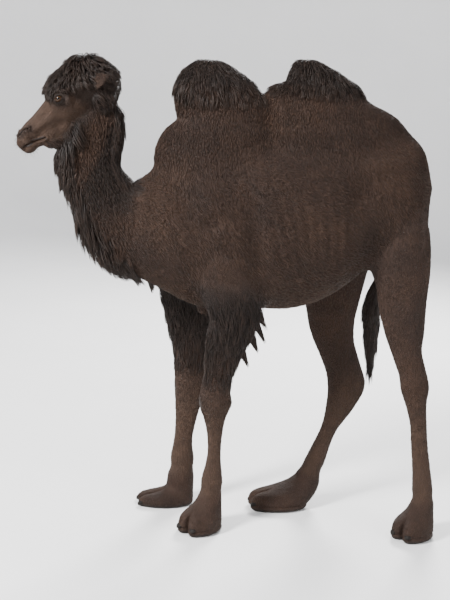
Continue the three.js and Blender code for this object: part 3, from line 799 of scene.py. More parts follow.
class Skin:
    """The skin as arrays: points, normals, triangles with their loops, the part each triangle belongs to,
    which is that of the corner whose part number is the middle one, the lie of the hair, and the marks."""

    def __init__(self, mesh, tubes):
        self.names = BODY_PARTS + FACE_PARTS
        self.tubes = tubes
        self.points = coordinates(mesh)
        self.corner, self.loop = triangles(mesh)
        self.normals = point_normals(self.points, self.corner)
        table = distances(self.points, tubes, self.names)
        self.face_part = np.sort(table.argmin(1)[self.corner], axis=1)[:, 1]
        self.comb = self.lie(table, edge_pairs(mesh))
        self.marks = markings(self.points, self.normals, table, self.names)

    def lie(self, table, edges):
        """The way the hair lies at each point: every near part's own way, weighed by e to the minus
        distance, with some fall on the body, laid flat on the skin and evened out between neighbours."""
        way = np.zeros_like(self.points)
        for column, name in enumerate(self.names):
            near = np.flatnonzero(table[:, column] < 0.1)
            if not len(near):
                continue
            tube = self.tubes[name]
            share = located(tube, self.points[near])[0] * tube.along[-1]
            tangent = np.stack([np.interp(share, tube.along, tube.tangent[:, k]) for k in range(3)], 1)
            if name == "crown":
                tangent = unit(self.points[near] - (np.array(WHORL) * MM + SHIFT))
            fall = 0.55 if name == "trunk" else 0.25
            reach = 0.05 if name in ("trunk", "front_hump", "rear_hump") else 0.02
            weight = np.exp(-np.maximum(table[near, column], 0) / reach)
            way[near] += (tangent - fall * UP) * weight[:, None]
        for _ in range(3):
            way = relaxed(unit(way), edges, 0.8, 14)
            way -= (way * self.normals).sum(1)[:, None] * self.normals
        return unit(way)

    def unwrap(self, corner_points, part):
        """Places in the unwrap for the corners of faces, all in one part: across its rectangle by the
        angle, up it by the share along. A face over the seam runs on past the edge instead of turning
        back."""
        count, corners = corner_points.shape[:2]
        share, angle, _ = located(self.tubes[self.names[part]], corner_points.reshape(-1, 3))
        turn = (angle / TAU + 0.25) % 1.0
        turn, share = turn.reshape(count, corners), share.reshape(count, corners)
        over = (turn.max(1) - turn.min(1) > 0.5)[:, None]
        turn = np.where(over & (turn < 0.5), turn + 1, turn)
        left, low, wide, high = UNWRAP[self.names[part]]
        return np.stack([left + wide * (0.03 + 0.85 * turn), low + high * (0.03 + 0.94 * share)], -1)

    def unwrapped(self):
        """The unwrap of every loop, and the same surface in metres: round the part and along it."""
        total = self.loop.max() + 1
        atlas, metres = np.zeros((total, 2)), np.zeros((total, 2))
        for part, name in enumerate(self.names):
            rows = np.flatnonzero(self.face_part == part)
            if not len(rows):
                continue
            uv = self.unwrap(self.points[self.corner[rows]], part)
            atlas[self.loop[rows]] = uv
            left, low, wide, high = UNWRAP[name]
            tube = self.tubes[name]
            size = np.array([np.median(tube.reach) * TAU / (0.85 * wide), tube.along[-1] / (0.94 * high)])
            metres[self.loop[rows]] = (uv - (left, low)) * size
        return atlas, metres


def markings(points, normals, table, names):
    """Three shares for each point: dark hair, pale short hair and bare hide. The dark share is the long hair
    and darker rings round the eyes, partly darker hair and partly painted shade in the sockets, and round
    the nostrils. Each is a sum of soft steps of the distance to a part or a place."""
    at = dict(zip(names, table.T))
    place = (points - SHIFT) / MM
    x, _, z = place.T

    def near(name, reach):
        """1 on the part, falling to 0 at the reach in metres."""
        return np.clip(1 - np.maximum(at[name], 0) / reach, 0, 1)

    def above(value, low, high):
        """0 below the low value, 1 above the high one, soft between."""
        share = np.clip((value - low) / (high - low), 0, 1)
        return share * share * (3 - 2 * share)

    neck, forearm = near("neck", 0.02), above(z, 800, 900) * above(-z, -1260, -1130)
    dark = np.maximum.reduce([
        near("crown", 0.02),
        neck * above(-x - 0.55 * (1900 - z), 610, 690),  # throat
        neck * above(x + 0.45 * (1900 - z), -560, -520) * above(z, 1450, 1560),  # nape
        near("front_hump", 0.03) * above(z, 2010, 2110),
        near("rear_hump", 0.03) * above(z, 2020, 2120),
        near("tail", 0.02) * above(-z, -1300, -1050),
        near("fore_left", 0.03) * forearm,
        near("fore_right", 0.03) * forearm,
        0.7 * above(np.abs(normals[:, 2]), 0.9, 1.0) * (z > 1700) * (at["trunk"] < 0.02),  # crests
    ])
    pale = np.maximum.reduce([
        0.7 * near("head", 0.03) * (at["crown"] > 0.015),
        0.7 * near("lower_jaw", 0.02),
        *(0.6 * near(leg, 0.03) * above(-z, -760, -520) for leg in LEGS),
        0.5 * near("trunk", 0.03) * above(-normals[:, 2], 0.4, 0.9),  # belly
    ])
    bare = np.zeros(len(points))
    for *centre, reach, share in BARE_SPOTS:
        far = np.linalg.norm(place - centre, axis=1)
        bare = np.maximum(bare, share * above(-far, -reach, -0.6 * reach))
    for side in (LEFT, RIGHT):
        lines = (on_skin(points, np.array(line) * (1, side, 1)) for line in (NOSTRIL, MOUTH))
        nostril, lips = (distance_to_path(points, line) for line in lines)
        eye = np.linalg.norm(points - eye_frame(side)[0], axis=1)
        bare = np.maximum.reduce([
            bare, above(-nostril, -0.0075, -0.004), 0.9 * above(-lips, -0.0052, -0.003),
            0.6 * above(-eye, -0.0235, -0.0215),
        ])
        # Darker round each eye, partly darker hair and partly painted shade in the eye socket; darker round
        # each nostril.
        rings = [0.75 * above(-eye, -0.058, -0.03), 0.45 * above(-nostril, -0.03, -0.01)]
        dark = np.maximum.reduce([dark, *rings])
    bare = np.maximum(bare, above(-z, -22, -10) * (z < 40))
    return np.stack([dark * (1 - bare), pale * (1 - dark) * (1 - bare), bare], 1)


def remeshed(surfaces, grain):
    """Closed surfaces joined into one skin on a grid of cubes."""
    piece = new_piece("skin", *gathered(surfaces))
    return piece, applied(piece, "REMESH", mode="VOXEL", voxel_size=grain, use_smooth_shade=True)


def body_skin(tubes, grain):
    """The body without the head: tubes and the chest pad joined, eased where they meet, and pressed with
    the body's forms. Gives its points and its faces."""
    pad = ball_surface(CHEST_PAD["at"], np.array(CHEST_PAD["half"]) - CHEST_PAD["depth"])
    piece, mesh = remeshed([tube_surface(tubes[name]) for name in BODY_PARTS] + [pad], grain)
    points, edges = coordinates(mesh), edge_pairs(mesh)
    points = relaxed(points, edges, 0.9 * flowing(points, tubes, BODY_PARTS), 60)
    points = relaxed(points, edges, 0.5, 4)
    normals = point_normals(points, triangles(mesh)[0])
    points = pressed(points, normals, BODY_FORMS)
    points = pressed(points, normals, LEG_FORMS, one_side=True)
    points = relaxed(points, edges, 0.5, 2)
    faces = [list(face.vertices) for face in mesh.polygons]
    bpy.data.objects.remove(piece)
    return points, faces


def whole_skin(tubes, body, grain):
    """The body joined with the head, jaw, crown, ears, lips and eyes, and eased where they meet."""
    face = [tube_surface(tubes[name], 64) for name in ("head", "lower_jaw", "crown")]
    face += [ear_surface(tubes["ear_left"], LEFT), ear_surface(tubes["ear_right"], RIGHT)]
    face += [ball_surface(place, half) for centre, half in FLESH_BALLS for place in mirrored(centre)]
    face += [ball_surface(place, np.full(3, EYE["radius"] + 1.0)) for place in mirrored(EYE["at"])]
    piece, mesh = remeshed([body] + face, grain)
    points, edges = coordinates(mesh), edge_pairs(mesh)
    points = relaxed(points, edges, 0.9 * flowing(points, tubes, FACE_PARTS + ("neck",)), 24)
    moved(piece, relaxed(points, edges, 0.5, 3))
    return piece


def face_carved(piece):
    """The skin made finer at the face and the toes, and given its face, its eye sockets and its toes."""
    muzzle = np.array(MUZZLE) * MM + SHIFT
    eyes = [eye_frame(side)[0] for side in (LEFT, RIGHT)]
    refined(piece, [muzzle], 0.09)
    refined(piece, eyes + toe_tips(), 0.06)
    refined(piece, [path for path, _ in face_lines(coordinates(piece.data))], 0.011)
    points = coordinates(piece.data)
    fine = np.zeros(len(points), bool)
    for centres, radius in ([muzzle], 0.11), (eyes, 0.055), (toe_tips(), 0.08):
        for centre in centres:
            fine |= np.linalg.norm(points - centre, axis=1) < radius
    points = relaxed(points, edge_pairs(piece.data), 0.6 * fine, 6)
    normals = point_normals(points, triangles(piece.data)[0])
    points = socket_pressed(pressed(points, normals, FACE_FORMS))
    for path, (deep, wide, lip) in face_lines(points):
        far = distance_to_path(points, path) / MM
        cut = deep * np.exp(-((far / wide) ** 2)) - lip * np.exp(-(((far - 2.6 * wide) / (1.5 * wide)) ** 2))
        points -= normals * (cut * MM)[:, None]
    points = toes_pressed(points, normals)
    points[:, 2] = np.maximum(points[:, 2], SOLE_LOW)
    moved(piece, points)
    return points


def build_skin(shape):
    """The skin: the body, then the head joined to it, then the face carved, then all but the head thinned
    out."""
    tubes = {name: part_tube(name, COAT_DEPTH[name]) for name in COAT_DEPTH}
    tubes.update({name + "_foot": foot_tube(name, FOOT_DEPTH) for name in LEGS})
    tubes.update({"ear_left": ear_tube(LEFT), "ear_right": ear_tube(RIGHT)})
    piece = whole_skin(tubes, body_skin(tubes, shape.body_grain), shape.face_grain)
    points = face_carved(piece)
    head = (points[:, 2] > HEAD_LOW) & (points[:, 0] < HEAD_BACK)
    thinned = piece.vertex_groups.new(name="thin_out")
    thinned.add(np.flatnonzero(~head).tolist(), 1.0, "REPLACE")
    piece.data.calc_loop_triangles()
    share = shape.skin_triangles / len(piece.data.loop_triangles)
    applied(piece, "DECIMATE", ratio=share, vertex_group="thin_out")
    piece.vertex_groups.clear()
    return piece, tubes


# ---------------------------------------- hair


def mesh_of(name, points, corner, uv, values, material):
    """A piece of loose triangles: its points, its triangles, the unwrap of each point, and further values
    for each point by name."""
    mesh = bpy.data.meshes.new(name)
    mesh.vertices.add(len(points))
    mesh.vertices.foreach_set("co", plain(points))
    mesh.loops.add(corner.size)
    mesh.loops.foreach_set("vertex_index", corner.astype(np.int32).ravel())
    mesh.polygons.add(len(corner))
    mesh.polygons.foreach_set("loop_start", np.arange(0, corner.size, 3, dtype=np.int32))
    mesh.update(calc_edges=True)
    mesh.shade_smooth()
    mesh.uv_layers.new(name="OFBake").data.foreach_set("uv", plain(uv[corner.ravel()]))
    for key, value in values.items():
        add_value(mesh, key, value)
    mesh.materials.append(material)
    piece = bpy.data.objects.new(name, mesh)
    bpy.context.scene.collection.objects.link(piece)
    return piece


def add_value(mesh, key, value):
    """A value for each point of the mesh: a number, or three as a colour."""
    if value.ndim == 1:
        mesh.attributes.new(key, "FLOAT", "POINT").data.foreach_set("value", plain(value))
        return
    colour = np.concatenate([value, np.ones((len(value), 1))], 1)
    mesh.attributes.new(key, "FLOAT_COLOR", "POINT").data.foreach_set("color", plain(colour))


def strands(paths, width, out, flat=0.4):
    """Closed three-sided blades along paths: at each place but the last a triangle of points, two on the
    skin's side and one away from it, which narrows as the root of what is left of the length; then one
    point at the tip."""
    count, places = paths.shape[:2]
    way = unit(np.gradient(paths, axis=1))
    out = unit(out - (out * way).sum(-1, keepdims=True) * way)
    side = np.cross(way, out)
    share = np.arange(places - 1) / (places - 1)
    taper = (0.62 + 0.75 * share) * np.sqrt(1 - share)
    half = (width[:, None] * taper * 0.5)[..., None]
    middle = paths[:, :-1]
    ring = np.stack([
        middle - side[:, :-1] * half, middle + side[:, :-1] * half, middle + out[:, :-1] * half * 2 * flat,
    ], 2)
    points = np.concatenate([ring.reshape(count, -1, 3), paths[:, -1:]], 1)
    faces = [(0, 2, 1)]
    for step in range(places - 2):
        for side_of in range(3):
            a, b = 3 * step + side_of, 3 * step + (side_of + 1) % 3
            faces += [(a, b, b + 3), (a, b + 3, a + 3)]
    end = 3 * (places - 2)
    faces += [(end + k, end + (k + 1) % 3, 3 * (places - 1)) for k in range(3)]
    each = points.shape[1]
    corner = (np.array(faces)[None] + np.arange(count)[:, None, None] * each).reshape(-1, 3)
    along = np.append(np.repeat(share, 3), 1.0)
    across = np.append(np.tile([0.0, 1.0, 0.5], places - 1), 0.5)
    return points.reshape(-1, 3), corner, np.tile(along, count), np.tile(across, count), each


def leaves(paths, width, out):
    """Closed blades of six triangles along paths of three places: a point at the root, a triangle of points
    at the widest place, two of them on the skin's side, and a point at the tip."""
    count = len(paths)
    root, middle, tip = paths.transpose(1, 0, 2)
    way = unit(tip - root)
    out = unit(out - (out * way).sum(-1, keepdims=True) * way)
    side = np.cross(way, out) * (width * 0.5)[:, None]
    points = np.stack([root, middle - side, middle + side, middle + out * (width * 0.38)[:, None], tip], 1)
    faces = np.array([(0, 2, 1), (0, 3, 2), (0, 1, 3), (4, 1, 2), (4, 2, 3), (4, 3, 1)])
    corner = (faces[None] + np.arange(count)[:, None, None] * 5).reshape(-1, 3)
    along, across = np.tile([0, 0.4, 0.4, 0.4, 1], count), np.tile([0.5, 0, 1, 0.5, 0.5], count)
    return points.reshape(-1, 3), corner, along, across, 5


def swirled(roots, seed):
    """A smooth value from -1 to 1 over space: the sine of a sum of waves some hand widths long."""
    waves = np.random.default_rng(seed).normal(0, 1, (5, 3)) * np.array([[9], [17], [31], [52], [80]])
    phase = np.arange(5) * 1.7
    return np.sin(roots @ waves.T + phase) @ np.array([0.34, 0.27, 0.2, 0.12, 0.07])


def gathered_locks(paths, each, pull, draw):
    """Hairs drawn into locks: each hair's far end moves towards that of the nearest of a few leading hairs,
    by the pull times the square of the share along it."""
    count = len(paths)
    leaders = draw.permutation(count)[: max(count // each, 1)]
    roots = paths[:, 0]
    far = (roots**2).sum(1)[:, None] - 2 * roots @ roots[leaders].T + (roots[leaders] ** 2).sum(1)
    leader = paths[leaders[far.argmin(1)]]
    share = np.linspace(0, 1, paths.shape[1])[None, :, None]
    return paths + (leader - paths) * pull * share**1.6


def hair_paths(roots, normals, comb, length, lift, hang, wave, places, draw):
    """Centre lines of hairs. Each starts a little under the skin, sets off along the comb and away from the
    skin by its lift, and bends towards the comb and, by its hang, towards the ground, with a wave across
    it."""
    count = len(roots)
    side = np.cross(normals, comb)
    phase = draw.uniform(0, TAU, (count, 1))
    place = roots - normals * 0.0015
    path = [place]
    steps = places - 1
    for step in range(steps):
        share = (step + 0.5) / steps
        rise = (lift / length)[:, None] * 2.0 * (1 - share * 1.15)
        sway = np.sin(phase + share * TAU * 0.75) * (wave / length)[:, None] * 2.4
        way = unit(comb + normals * rise + side * sway - UP * (hang[:, None] * share * 1.6))
        place = place + way * (length / steps)[:, None]
        path.append(place)
    return np.stack(path, 1)


def areas(skin, faces):
    """The areas of some of the skin's triangles, twice over."""
    a, b, c = skin.points[skin.corner[faces]].transpose(1, 0, 2)
    return np.linalg.norm(np.cross(b - a, c - a), axis=1)


class Roots:
    """Where hairs leave the skin: the triangle of each, and how much each of its corners weighs."""

    def __init__(self, skin, faces, weight):
        self.skin, self.faces, self.weight = skin, faces, weight

    def of(self, values):
        """A value of the skin at each root."""
        return (values[self.skin.corner[self.faces]] * self.weight[..., None]).sum(1)

    def only(self, chosen):
        """Some of the roots."""
        return Roots(self.skin, self.faces[chosen], self.weight[chosen])

    def unwrap(self):
        """Each root's place in the unwrap."""
        uv, part_of = np.zeros((len(self.faces), 2)), self.skin.face_part[self.faces]
        for part in np.unique(part_of):
            rows = np.flatnonzero(part_of == part)
            corners = self.skin.unwrap(self.skin.points[self.skin.corner[self.faces[rows]]], part)
            uv[rows] = (corners * self.weight[rows][..., None]).sum(1)
        return uv


def spread_over(skin, faces, count):
    """Roots spread evenly over some of the skin's triangles: equal steps of their summed area, and within
    each triangle the two-number sequence of the plastic ratio, folded into the triangle."""
    total = np.cumsum(areas(skin, faces))
    chosen = np.searchsorted(total, (np.arange(count) + 0.5) / count * total[-1])
    chosen = np.minimum(chosen, len(faces) - 1)
    step = np.arange(count)[:, None] * np.array(ROOT_STEP) % 1.0
    step = np.where(step.sum(1, keepdims=True) > 1, 1 - step, step)
    return Roots(skin, faces[chosen], np.concatenate([1 - step.sum(1, keepdims=True), step], 1))


def clear_of_eyes(paths, reach):
    """Hairs ended before they hang over an eye: each keeps the share of its length that lies before its
    first place within the reach of the line out of the eye."""
    count, places = paths.shape[:2]
    kept = np.ones(count)
    for side in (LEFT, RIGHT):
        centre, gaze, _, _ = eye_frame(side)
        out = unit(gaze + np.array([0.0, side, 0.0]))
        offset = paths - centre
        ahead = offset @ out
        apart = np.linalg.norm(offset - ahead[..., None] * out, axis=-1)
        over = (apart < reach) & (ahead > 0) & (ahead < 0.1)
        first = over.argmax(1) / (places - 1)
        kept = np.where(over.any(1), np.minimum(kept, np.maximum(first - 0.1, 0.1)), kept)
    place = np.linspace(0, places - 1, places) * kept[:, None]
    low = np.minimum(place.astype(int), places - 2)
    part = (place - low)[..., None]
    rows = np.arange(count)[:, None]
    return paths[rows, low] * (1 - part) + paths[rows, low + 1] * part


def hair_mesh(name, blades, places, marks, draw, material):
    """A piece of hair: its blades, each with a small patch of the unwrap round its own place there, its
    marks, and a tone drawn for it."""
    points, corner, along, across, each = blades
    patch = (np.stack([across, along], 1) - 0.5) * PATCH
    uv = np.repeat(places, each, axis=0) + patch
    tone = np.repeat(draw.uniform(0, 1, len(places)), each)
    values = {"along": along, "tone": tone, "marks": np.repeat(marks, each, axis=0)}
    return mesh_of(name, points, corner, uv, values, material)


def hair_piece(name, roots, size, draw, material, places, marks=None):
    """A piece of hair from roots: `size` gives its length, width, lift, wave and hang, each with some
    spread."""
    length, width, lift, wave, hang = size
    skin, is_long = roots.skin, places == LONG_PLACES
    start, normals, comb = roots.of(skin.points), unit(roots.of(skin.normals)), roots.of(skin.comb)
    count = len(start)
    turned = draw.normal(0, 0.11, count) + 0.32 * swirled(start, 3)
    comb = unit(comb + np.cross(normals, comb) * turned[:, None])
    length = length * draw.uniform(0.7, 1.25, count)
    if is_long:
        length = length * (1 + 0.42 * swirled(start, 9))
    lift = lift * draw.uniform(0.35, 1.35, count)
    paths = hair_paths(start, normals, comb, length, lift, np.full(count, hang), wave, places, draw)
    if is_long:
        paths = gathered_locks(paths, 14, 0.62, draw)
    paths = clear_of_eyes(paths, LONG_CLEAR if length.max() > 0.03 else SHORT_CLEAR)
    paths[..., 2] = np.maximum(paths[..., 2], 0.0015)
    width = width * draw.uniform(0.75, 1.3, count)
    if is_long:
        blades = strands(paths, width, np.broadcast_to(normals[:, None], paths.shape))
    else:
        blades = leaves(paths, width, normals)
    marks = roots.of(skin.marks) if marks is None else marks
    return hair_mesh(name, blades, roots.unwrap(), marks, draw, material)


def short_coat(name, skin, parts, side, coat, material, draw):
    """The short coat of some parts, on one side (-1 or 1) or both (0): tufts laid along the comb, fewer
    where the hide is bare, shorter towards the nose, the eyes and the feet."""
    keep = np.isin(skin.face_part, [skin.names.index(part) for part in parts])
    if side:
        keep &= (skin.points[skin.corner].mean(1)[:, 1] - SHIFT[1]) * side > 0
    long, wide, lift, each_cm = TUFTS.get(parts[0], TUFTS["foot"])
    faces = np.flatnonzero(keep)
    area = areas(skin, faces).sum() / 2
    count = int(min(area * 1e4 * each_cm * coat.thickness, MOST_TRIANGLES / 6))
    roots = spread_over(skin, faces, count)
    height = roots.of(skin.points)[:, 2]
    covered = (roots.of(skin.marks)[:, 2] < draw.uniform(0.15, 0.5, count)) & (height > 0.012)
    roots = roots.only(covered & ((roots.of(skin.normals)[:, 2] > -0.9) | (height > 0.1)))
    place = roots.of(skin.points)
    length = np.full(len(place), long * MM) * coat.length
    width = np.full(len(place), wide * MM)
    if parts[0] in ("head", "lower_jaw"):
        grown = np.clip(((place[:, 0] - SHIFT[0]) / MM + 945) / 330, 0, 1)
        length *= 0.62 + 0.95 * grown
        width *= 0.75 + 0.45 * grown
        eyes = [np.linalg.norm(place - eye_frame(hand)[0], axis=1) for hand in (LEFT, RIGHT)]
        length *= np.clip((np.minimum(*eyes) / MM - 12) / 30, 0.45, 1)
    if parts[0] in LEGS:
        low = np.clip((place[:, 2] - 0.2) / 0.45, 0, 1)
        length *= 0.62 + 0.38 * low
        width *= 0.76 + 0.24 * low
    size = (length, width, lift * MM * np.maximum(length / (long * MM), 0.75), 0.12 * length, 0.15)
    return hair_piece(name, roots, size, draw, material, SHORT_PLACES)


def long_coat(name, skin, row, coat, material, draw):
    """Long hair on a stretch of one part between two angles round it, shorter and paler towards the
    stretch's edges."""
    part, low, high, first, last, count, long, wide, lift, wave, hang, dark = row
    tube, arc = skin.tubes[part], last - first
    share, angle, _ = located(tube, skin.points[skin.corner].mean(1))
    inside = (share >= low) & (share <= high) & ((np.degrees(angle) - first) % 360 <= arc)
    faces = np.flatnonzero((skin.face_part == skin.names.index(part)) & inside)
    roots = spread_over(skin, faces, count)
    roots = roots.only(roots.of(skin.marks)[:, 2] < 0.3)
    place, angle, _ = located(tube, roots.of(skin.points))
    edge = np.clip(np.minimum(place - low, high - place) / (0.24 * (high - low)) + 0.3, 0.3, 1)
    around = (np.degrees(angle) - first) % 360 / arc
    if arc < 360:
        edge *= np.clip(np.minimum(around, 1 - around) / 0.14 + 0.3, 0.3, 1)
    shade = dark * np.clip((edge - 0.35) / 0.4, 0, 1)[:, None] * DARK_HAIR
    marks = np.maximum(roots.of(skin.marks), shade) * (1 - shade.max(1, keepdims=True) * [0, 1.0, 1.0])
    length = long * MM * coat.long_length * edge
    size = (length, np.full(len(place), wide * MM), lift * MM * edge, wave * MM * edge, hang)
    return hair_piece(name, roots, size, draw, material, LONG_PLACES, marks)


def hanging_locks(name, skin, material, draw):
    """Pointed locks from a root to a tip: strands whose roots lie in a disc and whose tips draw together,
    each on the curve root + (tip - root) t + sag sin(pi t)."""
    paths, marks = [], []
    share = np.linspace(0, 1, 6)[None, :, None]
    level = np.array([0, 1.0, 0])
    for root, tip, radius, count, dark in LOCKS:
        root, tip = np.array(root) * MM + SHIFT, np.array(tip) * MM + SHIFT
        way = unit(tip - root)
        side = unit(np.cross(way, level))
        spread = np.sqrt(draw.uniform(0, 1, count)) * radius * MM
        turn = draw.uniform(0, TAU, count)
        disc = side * (spread * np.cos(turn))[:, None] + level * (spread * np.sin(turn))[:, None]
        reach = draw.uniform(0.66, 1.07, count)[:, None, None]
        start = (root - way * 0.02 + disc)[:, None]
        end = (tip + disc * 0.3)[:, None]
        sag = np.array([0.008, 0.012, 0.012]) * draw.uniform(-1, 1, (count, 1, 3))
        paths.append(start + (end - start) * share * reach + sag * np.sin(np.pi * share))
        marks.append(np.outer(np.full(count, dark), DARK_HAIR))
    paths = np.concatenate(paths)
    count = len(paths)
    blades = strands(paths, LOCK_STRAND * draw.uniform(0.7, 1.3, count), np.zeros_like(paths) - level, 0.5)
    near = 7 * np.array([((skin.points[::7] - root) ** 2).sum(1).argmin() for root in paths[:, 0]])
    face_at = np.zeros(len(skin.points), np.int64)
    face_at[skin.corner.ravel()] = np.repeat(np.arange(len(skin.corner)), 3)
    roots = Roots(skin, face_at[near], np.full((count, 3), 1 / 3))
    return hair_mesh(name, blades, roots.unwrap(), np.concatenate(marks), draw, material)


def whiskers(name, skin, material, draw, count=170):
    """Sparse stiff hairs on the lips and the chin: each leaves the skin between its normal and the comb and
    droops."""
    place = (skin.points[skin.corner].mean(1) - SHIFT) / MM
    lips = (place[:, 0] < -868) & (place[:, 2] < 1816) & (skin.marks[skin.corner[:, 0], 2] < 0.95)
    roots = spread_over(skin, np.flatnonzero(lips), count)
    start, normals, comb = roots.of(skin.points), unit(roots.of(skin.normals)), roots.of(skin.comb)
    length = draw.uniform(0.010, 0.026, count)[:, None, None]
    way = unit(normals * 0.9 + comb * 0.5 + draw.normal(0, 0.15, (count, 3)))
    share = np.linspace(0, 1, 5)[None, :, None]
    paths = (start - 0.001 * normals)[:, None] + (way[:, None] * share - UP * 0.35 * share**2) * length
    out = np.broadcast_to(np.cross(way, UP)[:, None], paths.shape)
    blades = strands(paths, np.full(count, WHISKER_STRAND), out, 0.5)
    return hair_mesh(name, blades, roots.unwrap(), np.tile(DARK_HAIR, (count, 1)), draw, material)


# ---------------------------------------- eyes, lids, nails


def aimed(side, polar, turn):
    """Directions from an eye's centre at a polar angle p from its gaze and an angle a round it: the gaze
    times cos p, plus sin p times the sum of the way to the nose times cos a and the way up times sin a."""
    _, gaze, nose, up = eye_frame(side)
    ring = nose * np.cos(turn)[..., None] + up * np.sin(turn)[..., None]
    return gaze * np.cos(polar)[..., None] + ring * np.sin(polar)[..., None]


def eyeball(name, side, material, rows=48, sides=64):
    """An eye: centre plus a radius that swells over the cornea, along the direction at a polar angle p from
    the gaze and an angle a round it. Its own UV map holds (cos a, sin a) times p, towards the nose and
    up."""
    centre, gaze, _, _ = eye_frame(side)
    polar = np.linspace(0, np.pi, rows + 1)[1:-1, None]
    turn = round_angles(sides)
    radius = EYE["radius"] * MM * (1 + 0.035 * np.exp(-((polar / 0.55) ** 2)))
    points = (centre + aimed(side, polar, turn) * radius[..., None]).reshape(-1, 3)
    ends = centre + gaze * (EYE["radius"] * MM * np.array([1.035, -1.0]))[:, None]
    piece = new_piece(name, np.concatenate([points, ends]), closed_faces(len(polar), sides), [material])
    flat = np.stack([np.cos(turn) * polar, np.sin(turn) * polar], -1).reshape(-1, 2)
    flat = np.concatenate([flat, [[0, 0], [np.pi, 0]]])
    corner = np.empty(len(piece.data.loops), np.int32)
    piece.data.loops.foreach_get("vertex_index", corner)
    piece.data.uv_layers.new(name="gaze").data.foreach_set("uv", plain(flat[corner]))
    outward(piece)
    return piece


def outward(piece):
    """All faces of a closed piece turned outward."""
    shape = bmesh.new()
    shape.from_mesh(piece.data)
    bmesh.ops.recalc_face_normals(shape, faces=shape.faces)
    shape.to_mesh(piece.data)
    shape.free()


def lid_edge(turn):
    """Polar angle of the lids' opening at an angle round the gaze: an almond, wider than high, its upper
    edge more arched than the lower one. 1 over it is the sum of the powers of cos and sin over the half
    sizes, unpowered."""
    high = np.where(np.sin(turn) > 0, LID["above"], LID["below"])
    wide, tall = np.abs(np.cos(turn)) / LID["long"], np.abs(np.sin(turn)) / high
    return 1 / (wide ** LID["power"] + tall ** LID["power"]) ** (1 / LID["power"])


def eyelids(name, side, material, sides=96):
    """Both lids of an eye as one closed ring of skin: a loop from under the lid, round its edge, over its
    face with two folds and back into the head, carried round the opening. Radii are from the eye's
    centre."""
    turn = round_angles(sides)
    edge = lid_edge(turn)
    run = np.radians(84) - edge
    beyond, share, rise, upper_rise = np.array(LID_PROFILE).T[..., None]
    polar = edge + np.radians(beyond) + share * run
    rise = rise + upper_rise * np.clip(np.sin(turn) * 1.5, 0, 1)
    points = eye_frame(side)[0] + aimed(side, polar, turn) * ((EYE["radius"] + rise) * MM)[..., None]
    faces = grid_faces(len(LID_PROFILE), sides, closed_rows=True)
    piece = new_piece(name, points.reshape(-1, 3), faces.tolist(), [material])
    outward(piece)
    add_value(piece.data, "marks", np.tile([0.8, 0.0, 0.3], (len(piece.data.vertices), 1)))
    return piece


def lashes(name, side, material, draw):
    """Two rows of lashes along the upper lid and one along the lower: each a thin closed blade that leaves
    along the gaze and bends up, or down on the lower lid."""
    centre, gaze, nose, up = eye_frame(side)
    paths = []
    share = np.linspace(0, 1, 5)[None, :, None]
    for first, last, count, long, out in LASH_ROWS:
        turn = np.linspace(first, last, count) + draw.normal(0, 0.01, count)
        ring = nose * np.cos(turn)[:, None] + up * np.sin(turn)[:, None]
        root = centre + aimed(side, lid_edge(turn) + np.radians(out), turn) * ((EYE["radius"] + 1.4) * MM)
        length = long * MM * draw.uniform(0.75, 1.1, count) * (0.6 + 0.4 * np.sin(turn) ** 2)
        way = (gaze * 0.9 + ring * 0.25)[:, None] + draw.normal(0, 0.06, (count, 1, 3))
        curve = way * share + np.sign(np.sin(turn))[:, None, None] * up * (0.55 * share**2 - 0.35 * share)
        paths.append(root[:, None] + curve * length[:, None, None])
    paths = np.concatenate(paths)
    count = len(paths)
    blades = strands(paths, np.full(count, LASH_STRAND), np.zeros_like(paths) + up, 0.5)
    number = np.arange(count)
    cell = np.stack([number % 16, number // 16], 1) / 16 + 0.5 / 16
    return hair_mesh(name, blades, cell, np.tile(DARK_HAIR, (count, 1)), draw, material)


def nails(name, leg, material, rows=26, sides=40):
    """The two nails of a foot: each a broad rounded plate of horn. Its radius along a direction is 1 over
    the sum of the powers of that direction over the half sizes, unpowered; it is flattened underneath, dips
    to the tip, and has growth rings across it."""
    foot = FEET[leg]
    ahead, across = foot_axes(foot)
    polar = np.linspace(0, np.pi, rows + 1)[1:-1, None]
    turn = round_angles(sides)[None]
    level = np.sin(polar)
    aim = np.stack([np.cos(polar) + 0 * turn, level * np.cos(turn), level * np.sin(turn)], -1)
    half = np.array([NAIL["long"], NAIL["across"], NAIL["high"]]) - NAIL["inside"]
    reach = 1 / (np.abs(aim / half) ** NAIL["power"]).sum(-1) ** (1 / NAIL["power"])
    reach = reach * (1 + 0.02 * np.sin(polar * 30) * np.sin(polar))
    ends = np.array([[half[0], 0, 0], [-half[0], 0, 0]])
    shape = np.concatenate([(aim * reach[..., None]).reshape(-1, 3), ends])
    under = -0.5 * half[2]
    shape[:, 2] = np.where(shape[:, 2] < under, under + 0.25 * (shape[:, 2] - under), shape[:, 2])
    shape[:, 2] -= 0.0085 * np.maximum(shape[:, 0] + half[0] * 0.6, 0) ** 2
    faces = closed_faces(rows - 1, sides)
    surfaces = []
    for hand in (-1, 1):
        place = np.array([*foot["sole"], NAIL["height"] * foot["rise"]])
        place += ahead * NAIL["forward"] * foot["length"]
        place += across * hand * NAIL["spread"] * foot["width"]
        turned = shape @ np.array([ahead, across, UP])
        surfaces.append(((turned + place) * MM + SHIFT, faces))
    piece = new_piece(name, *gathered(surfaces), [material])
    outward(piece)
    return piece


# ---------------------------------------- materials


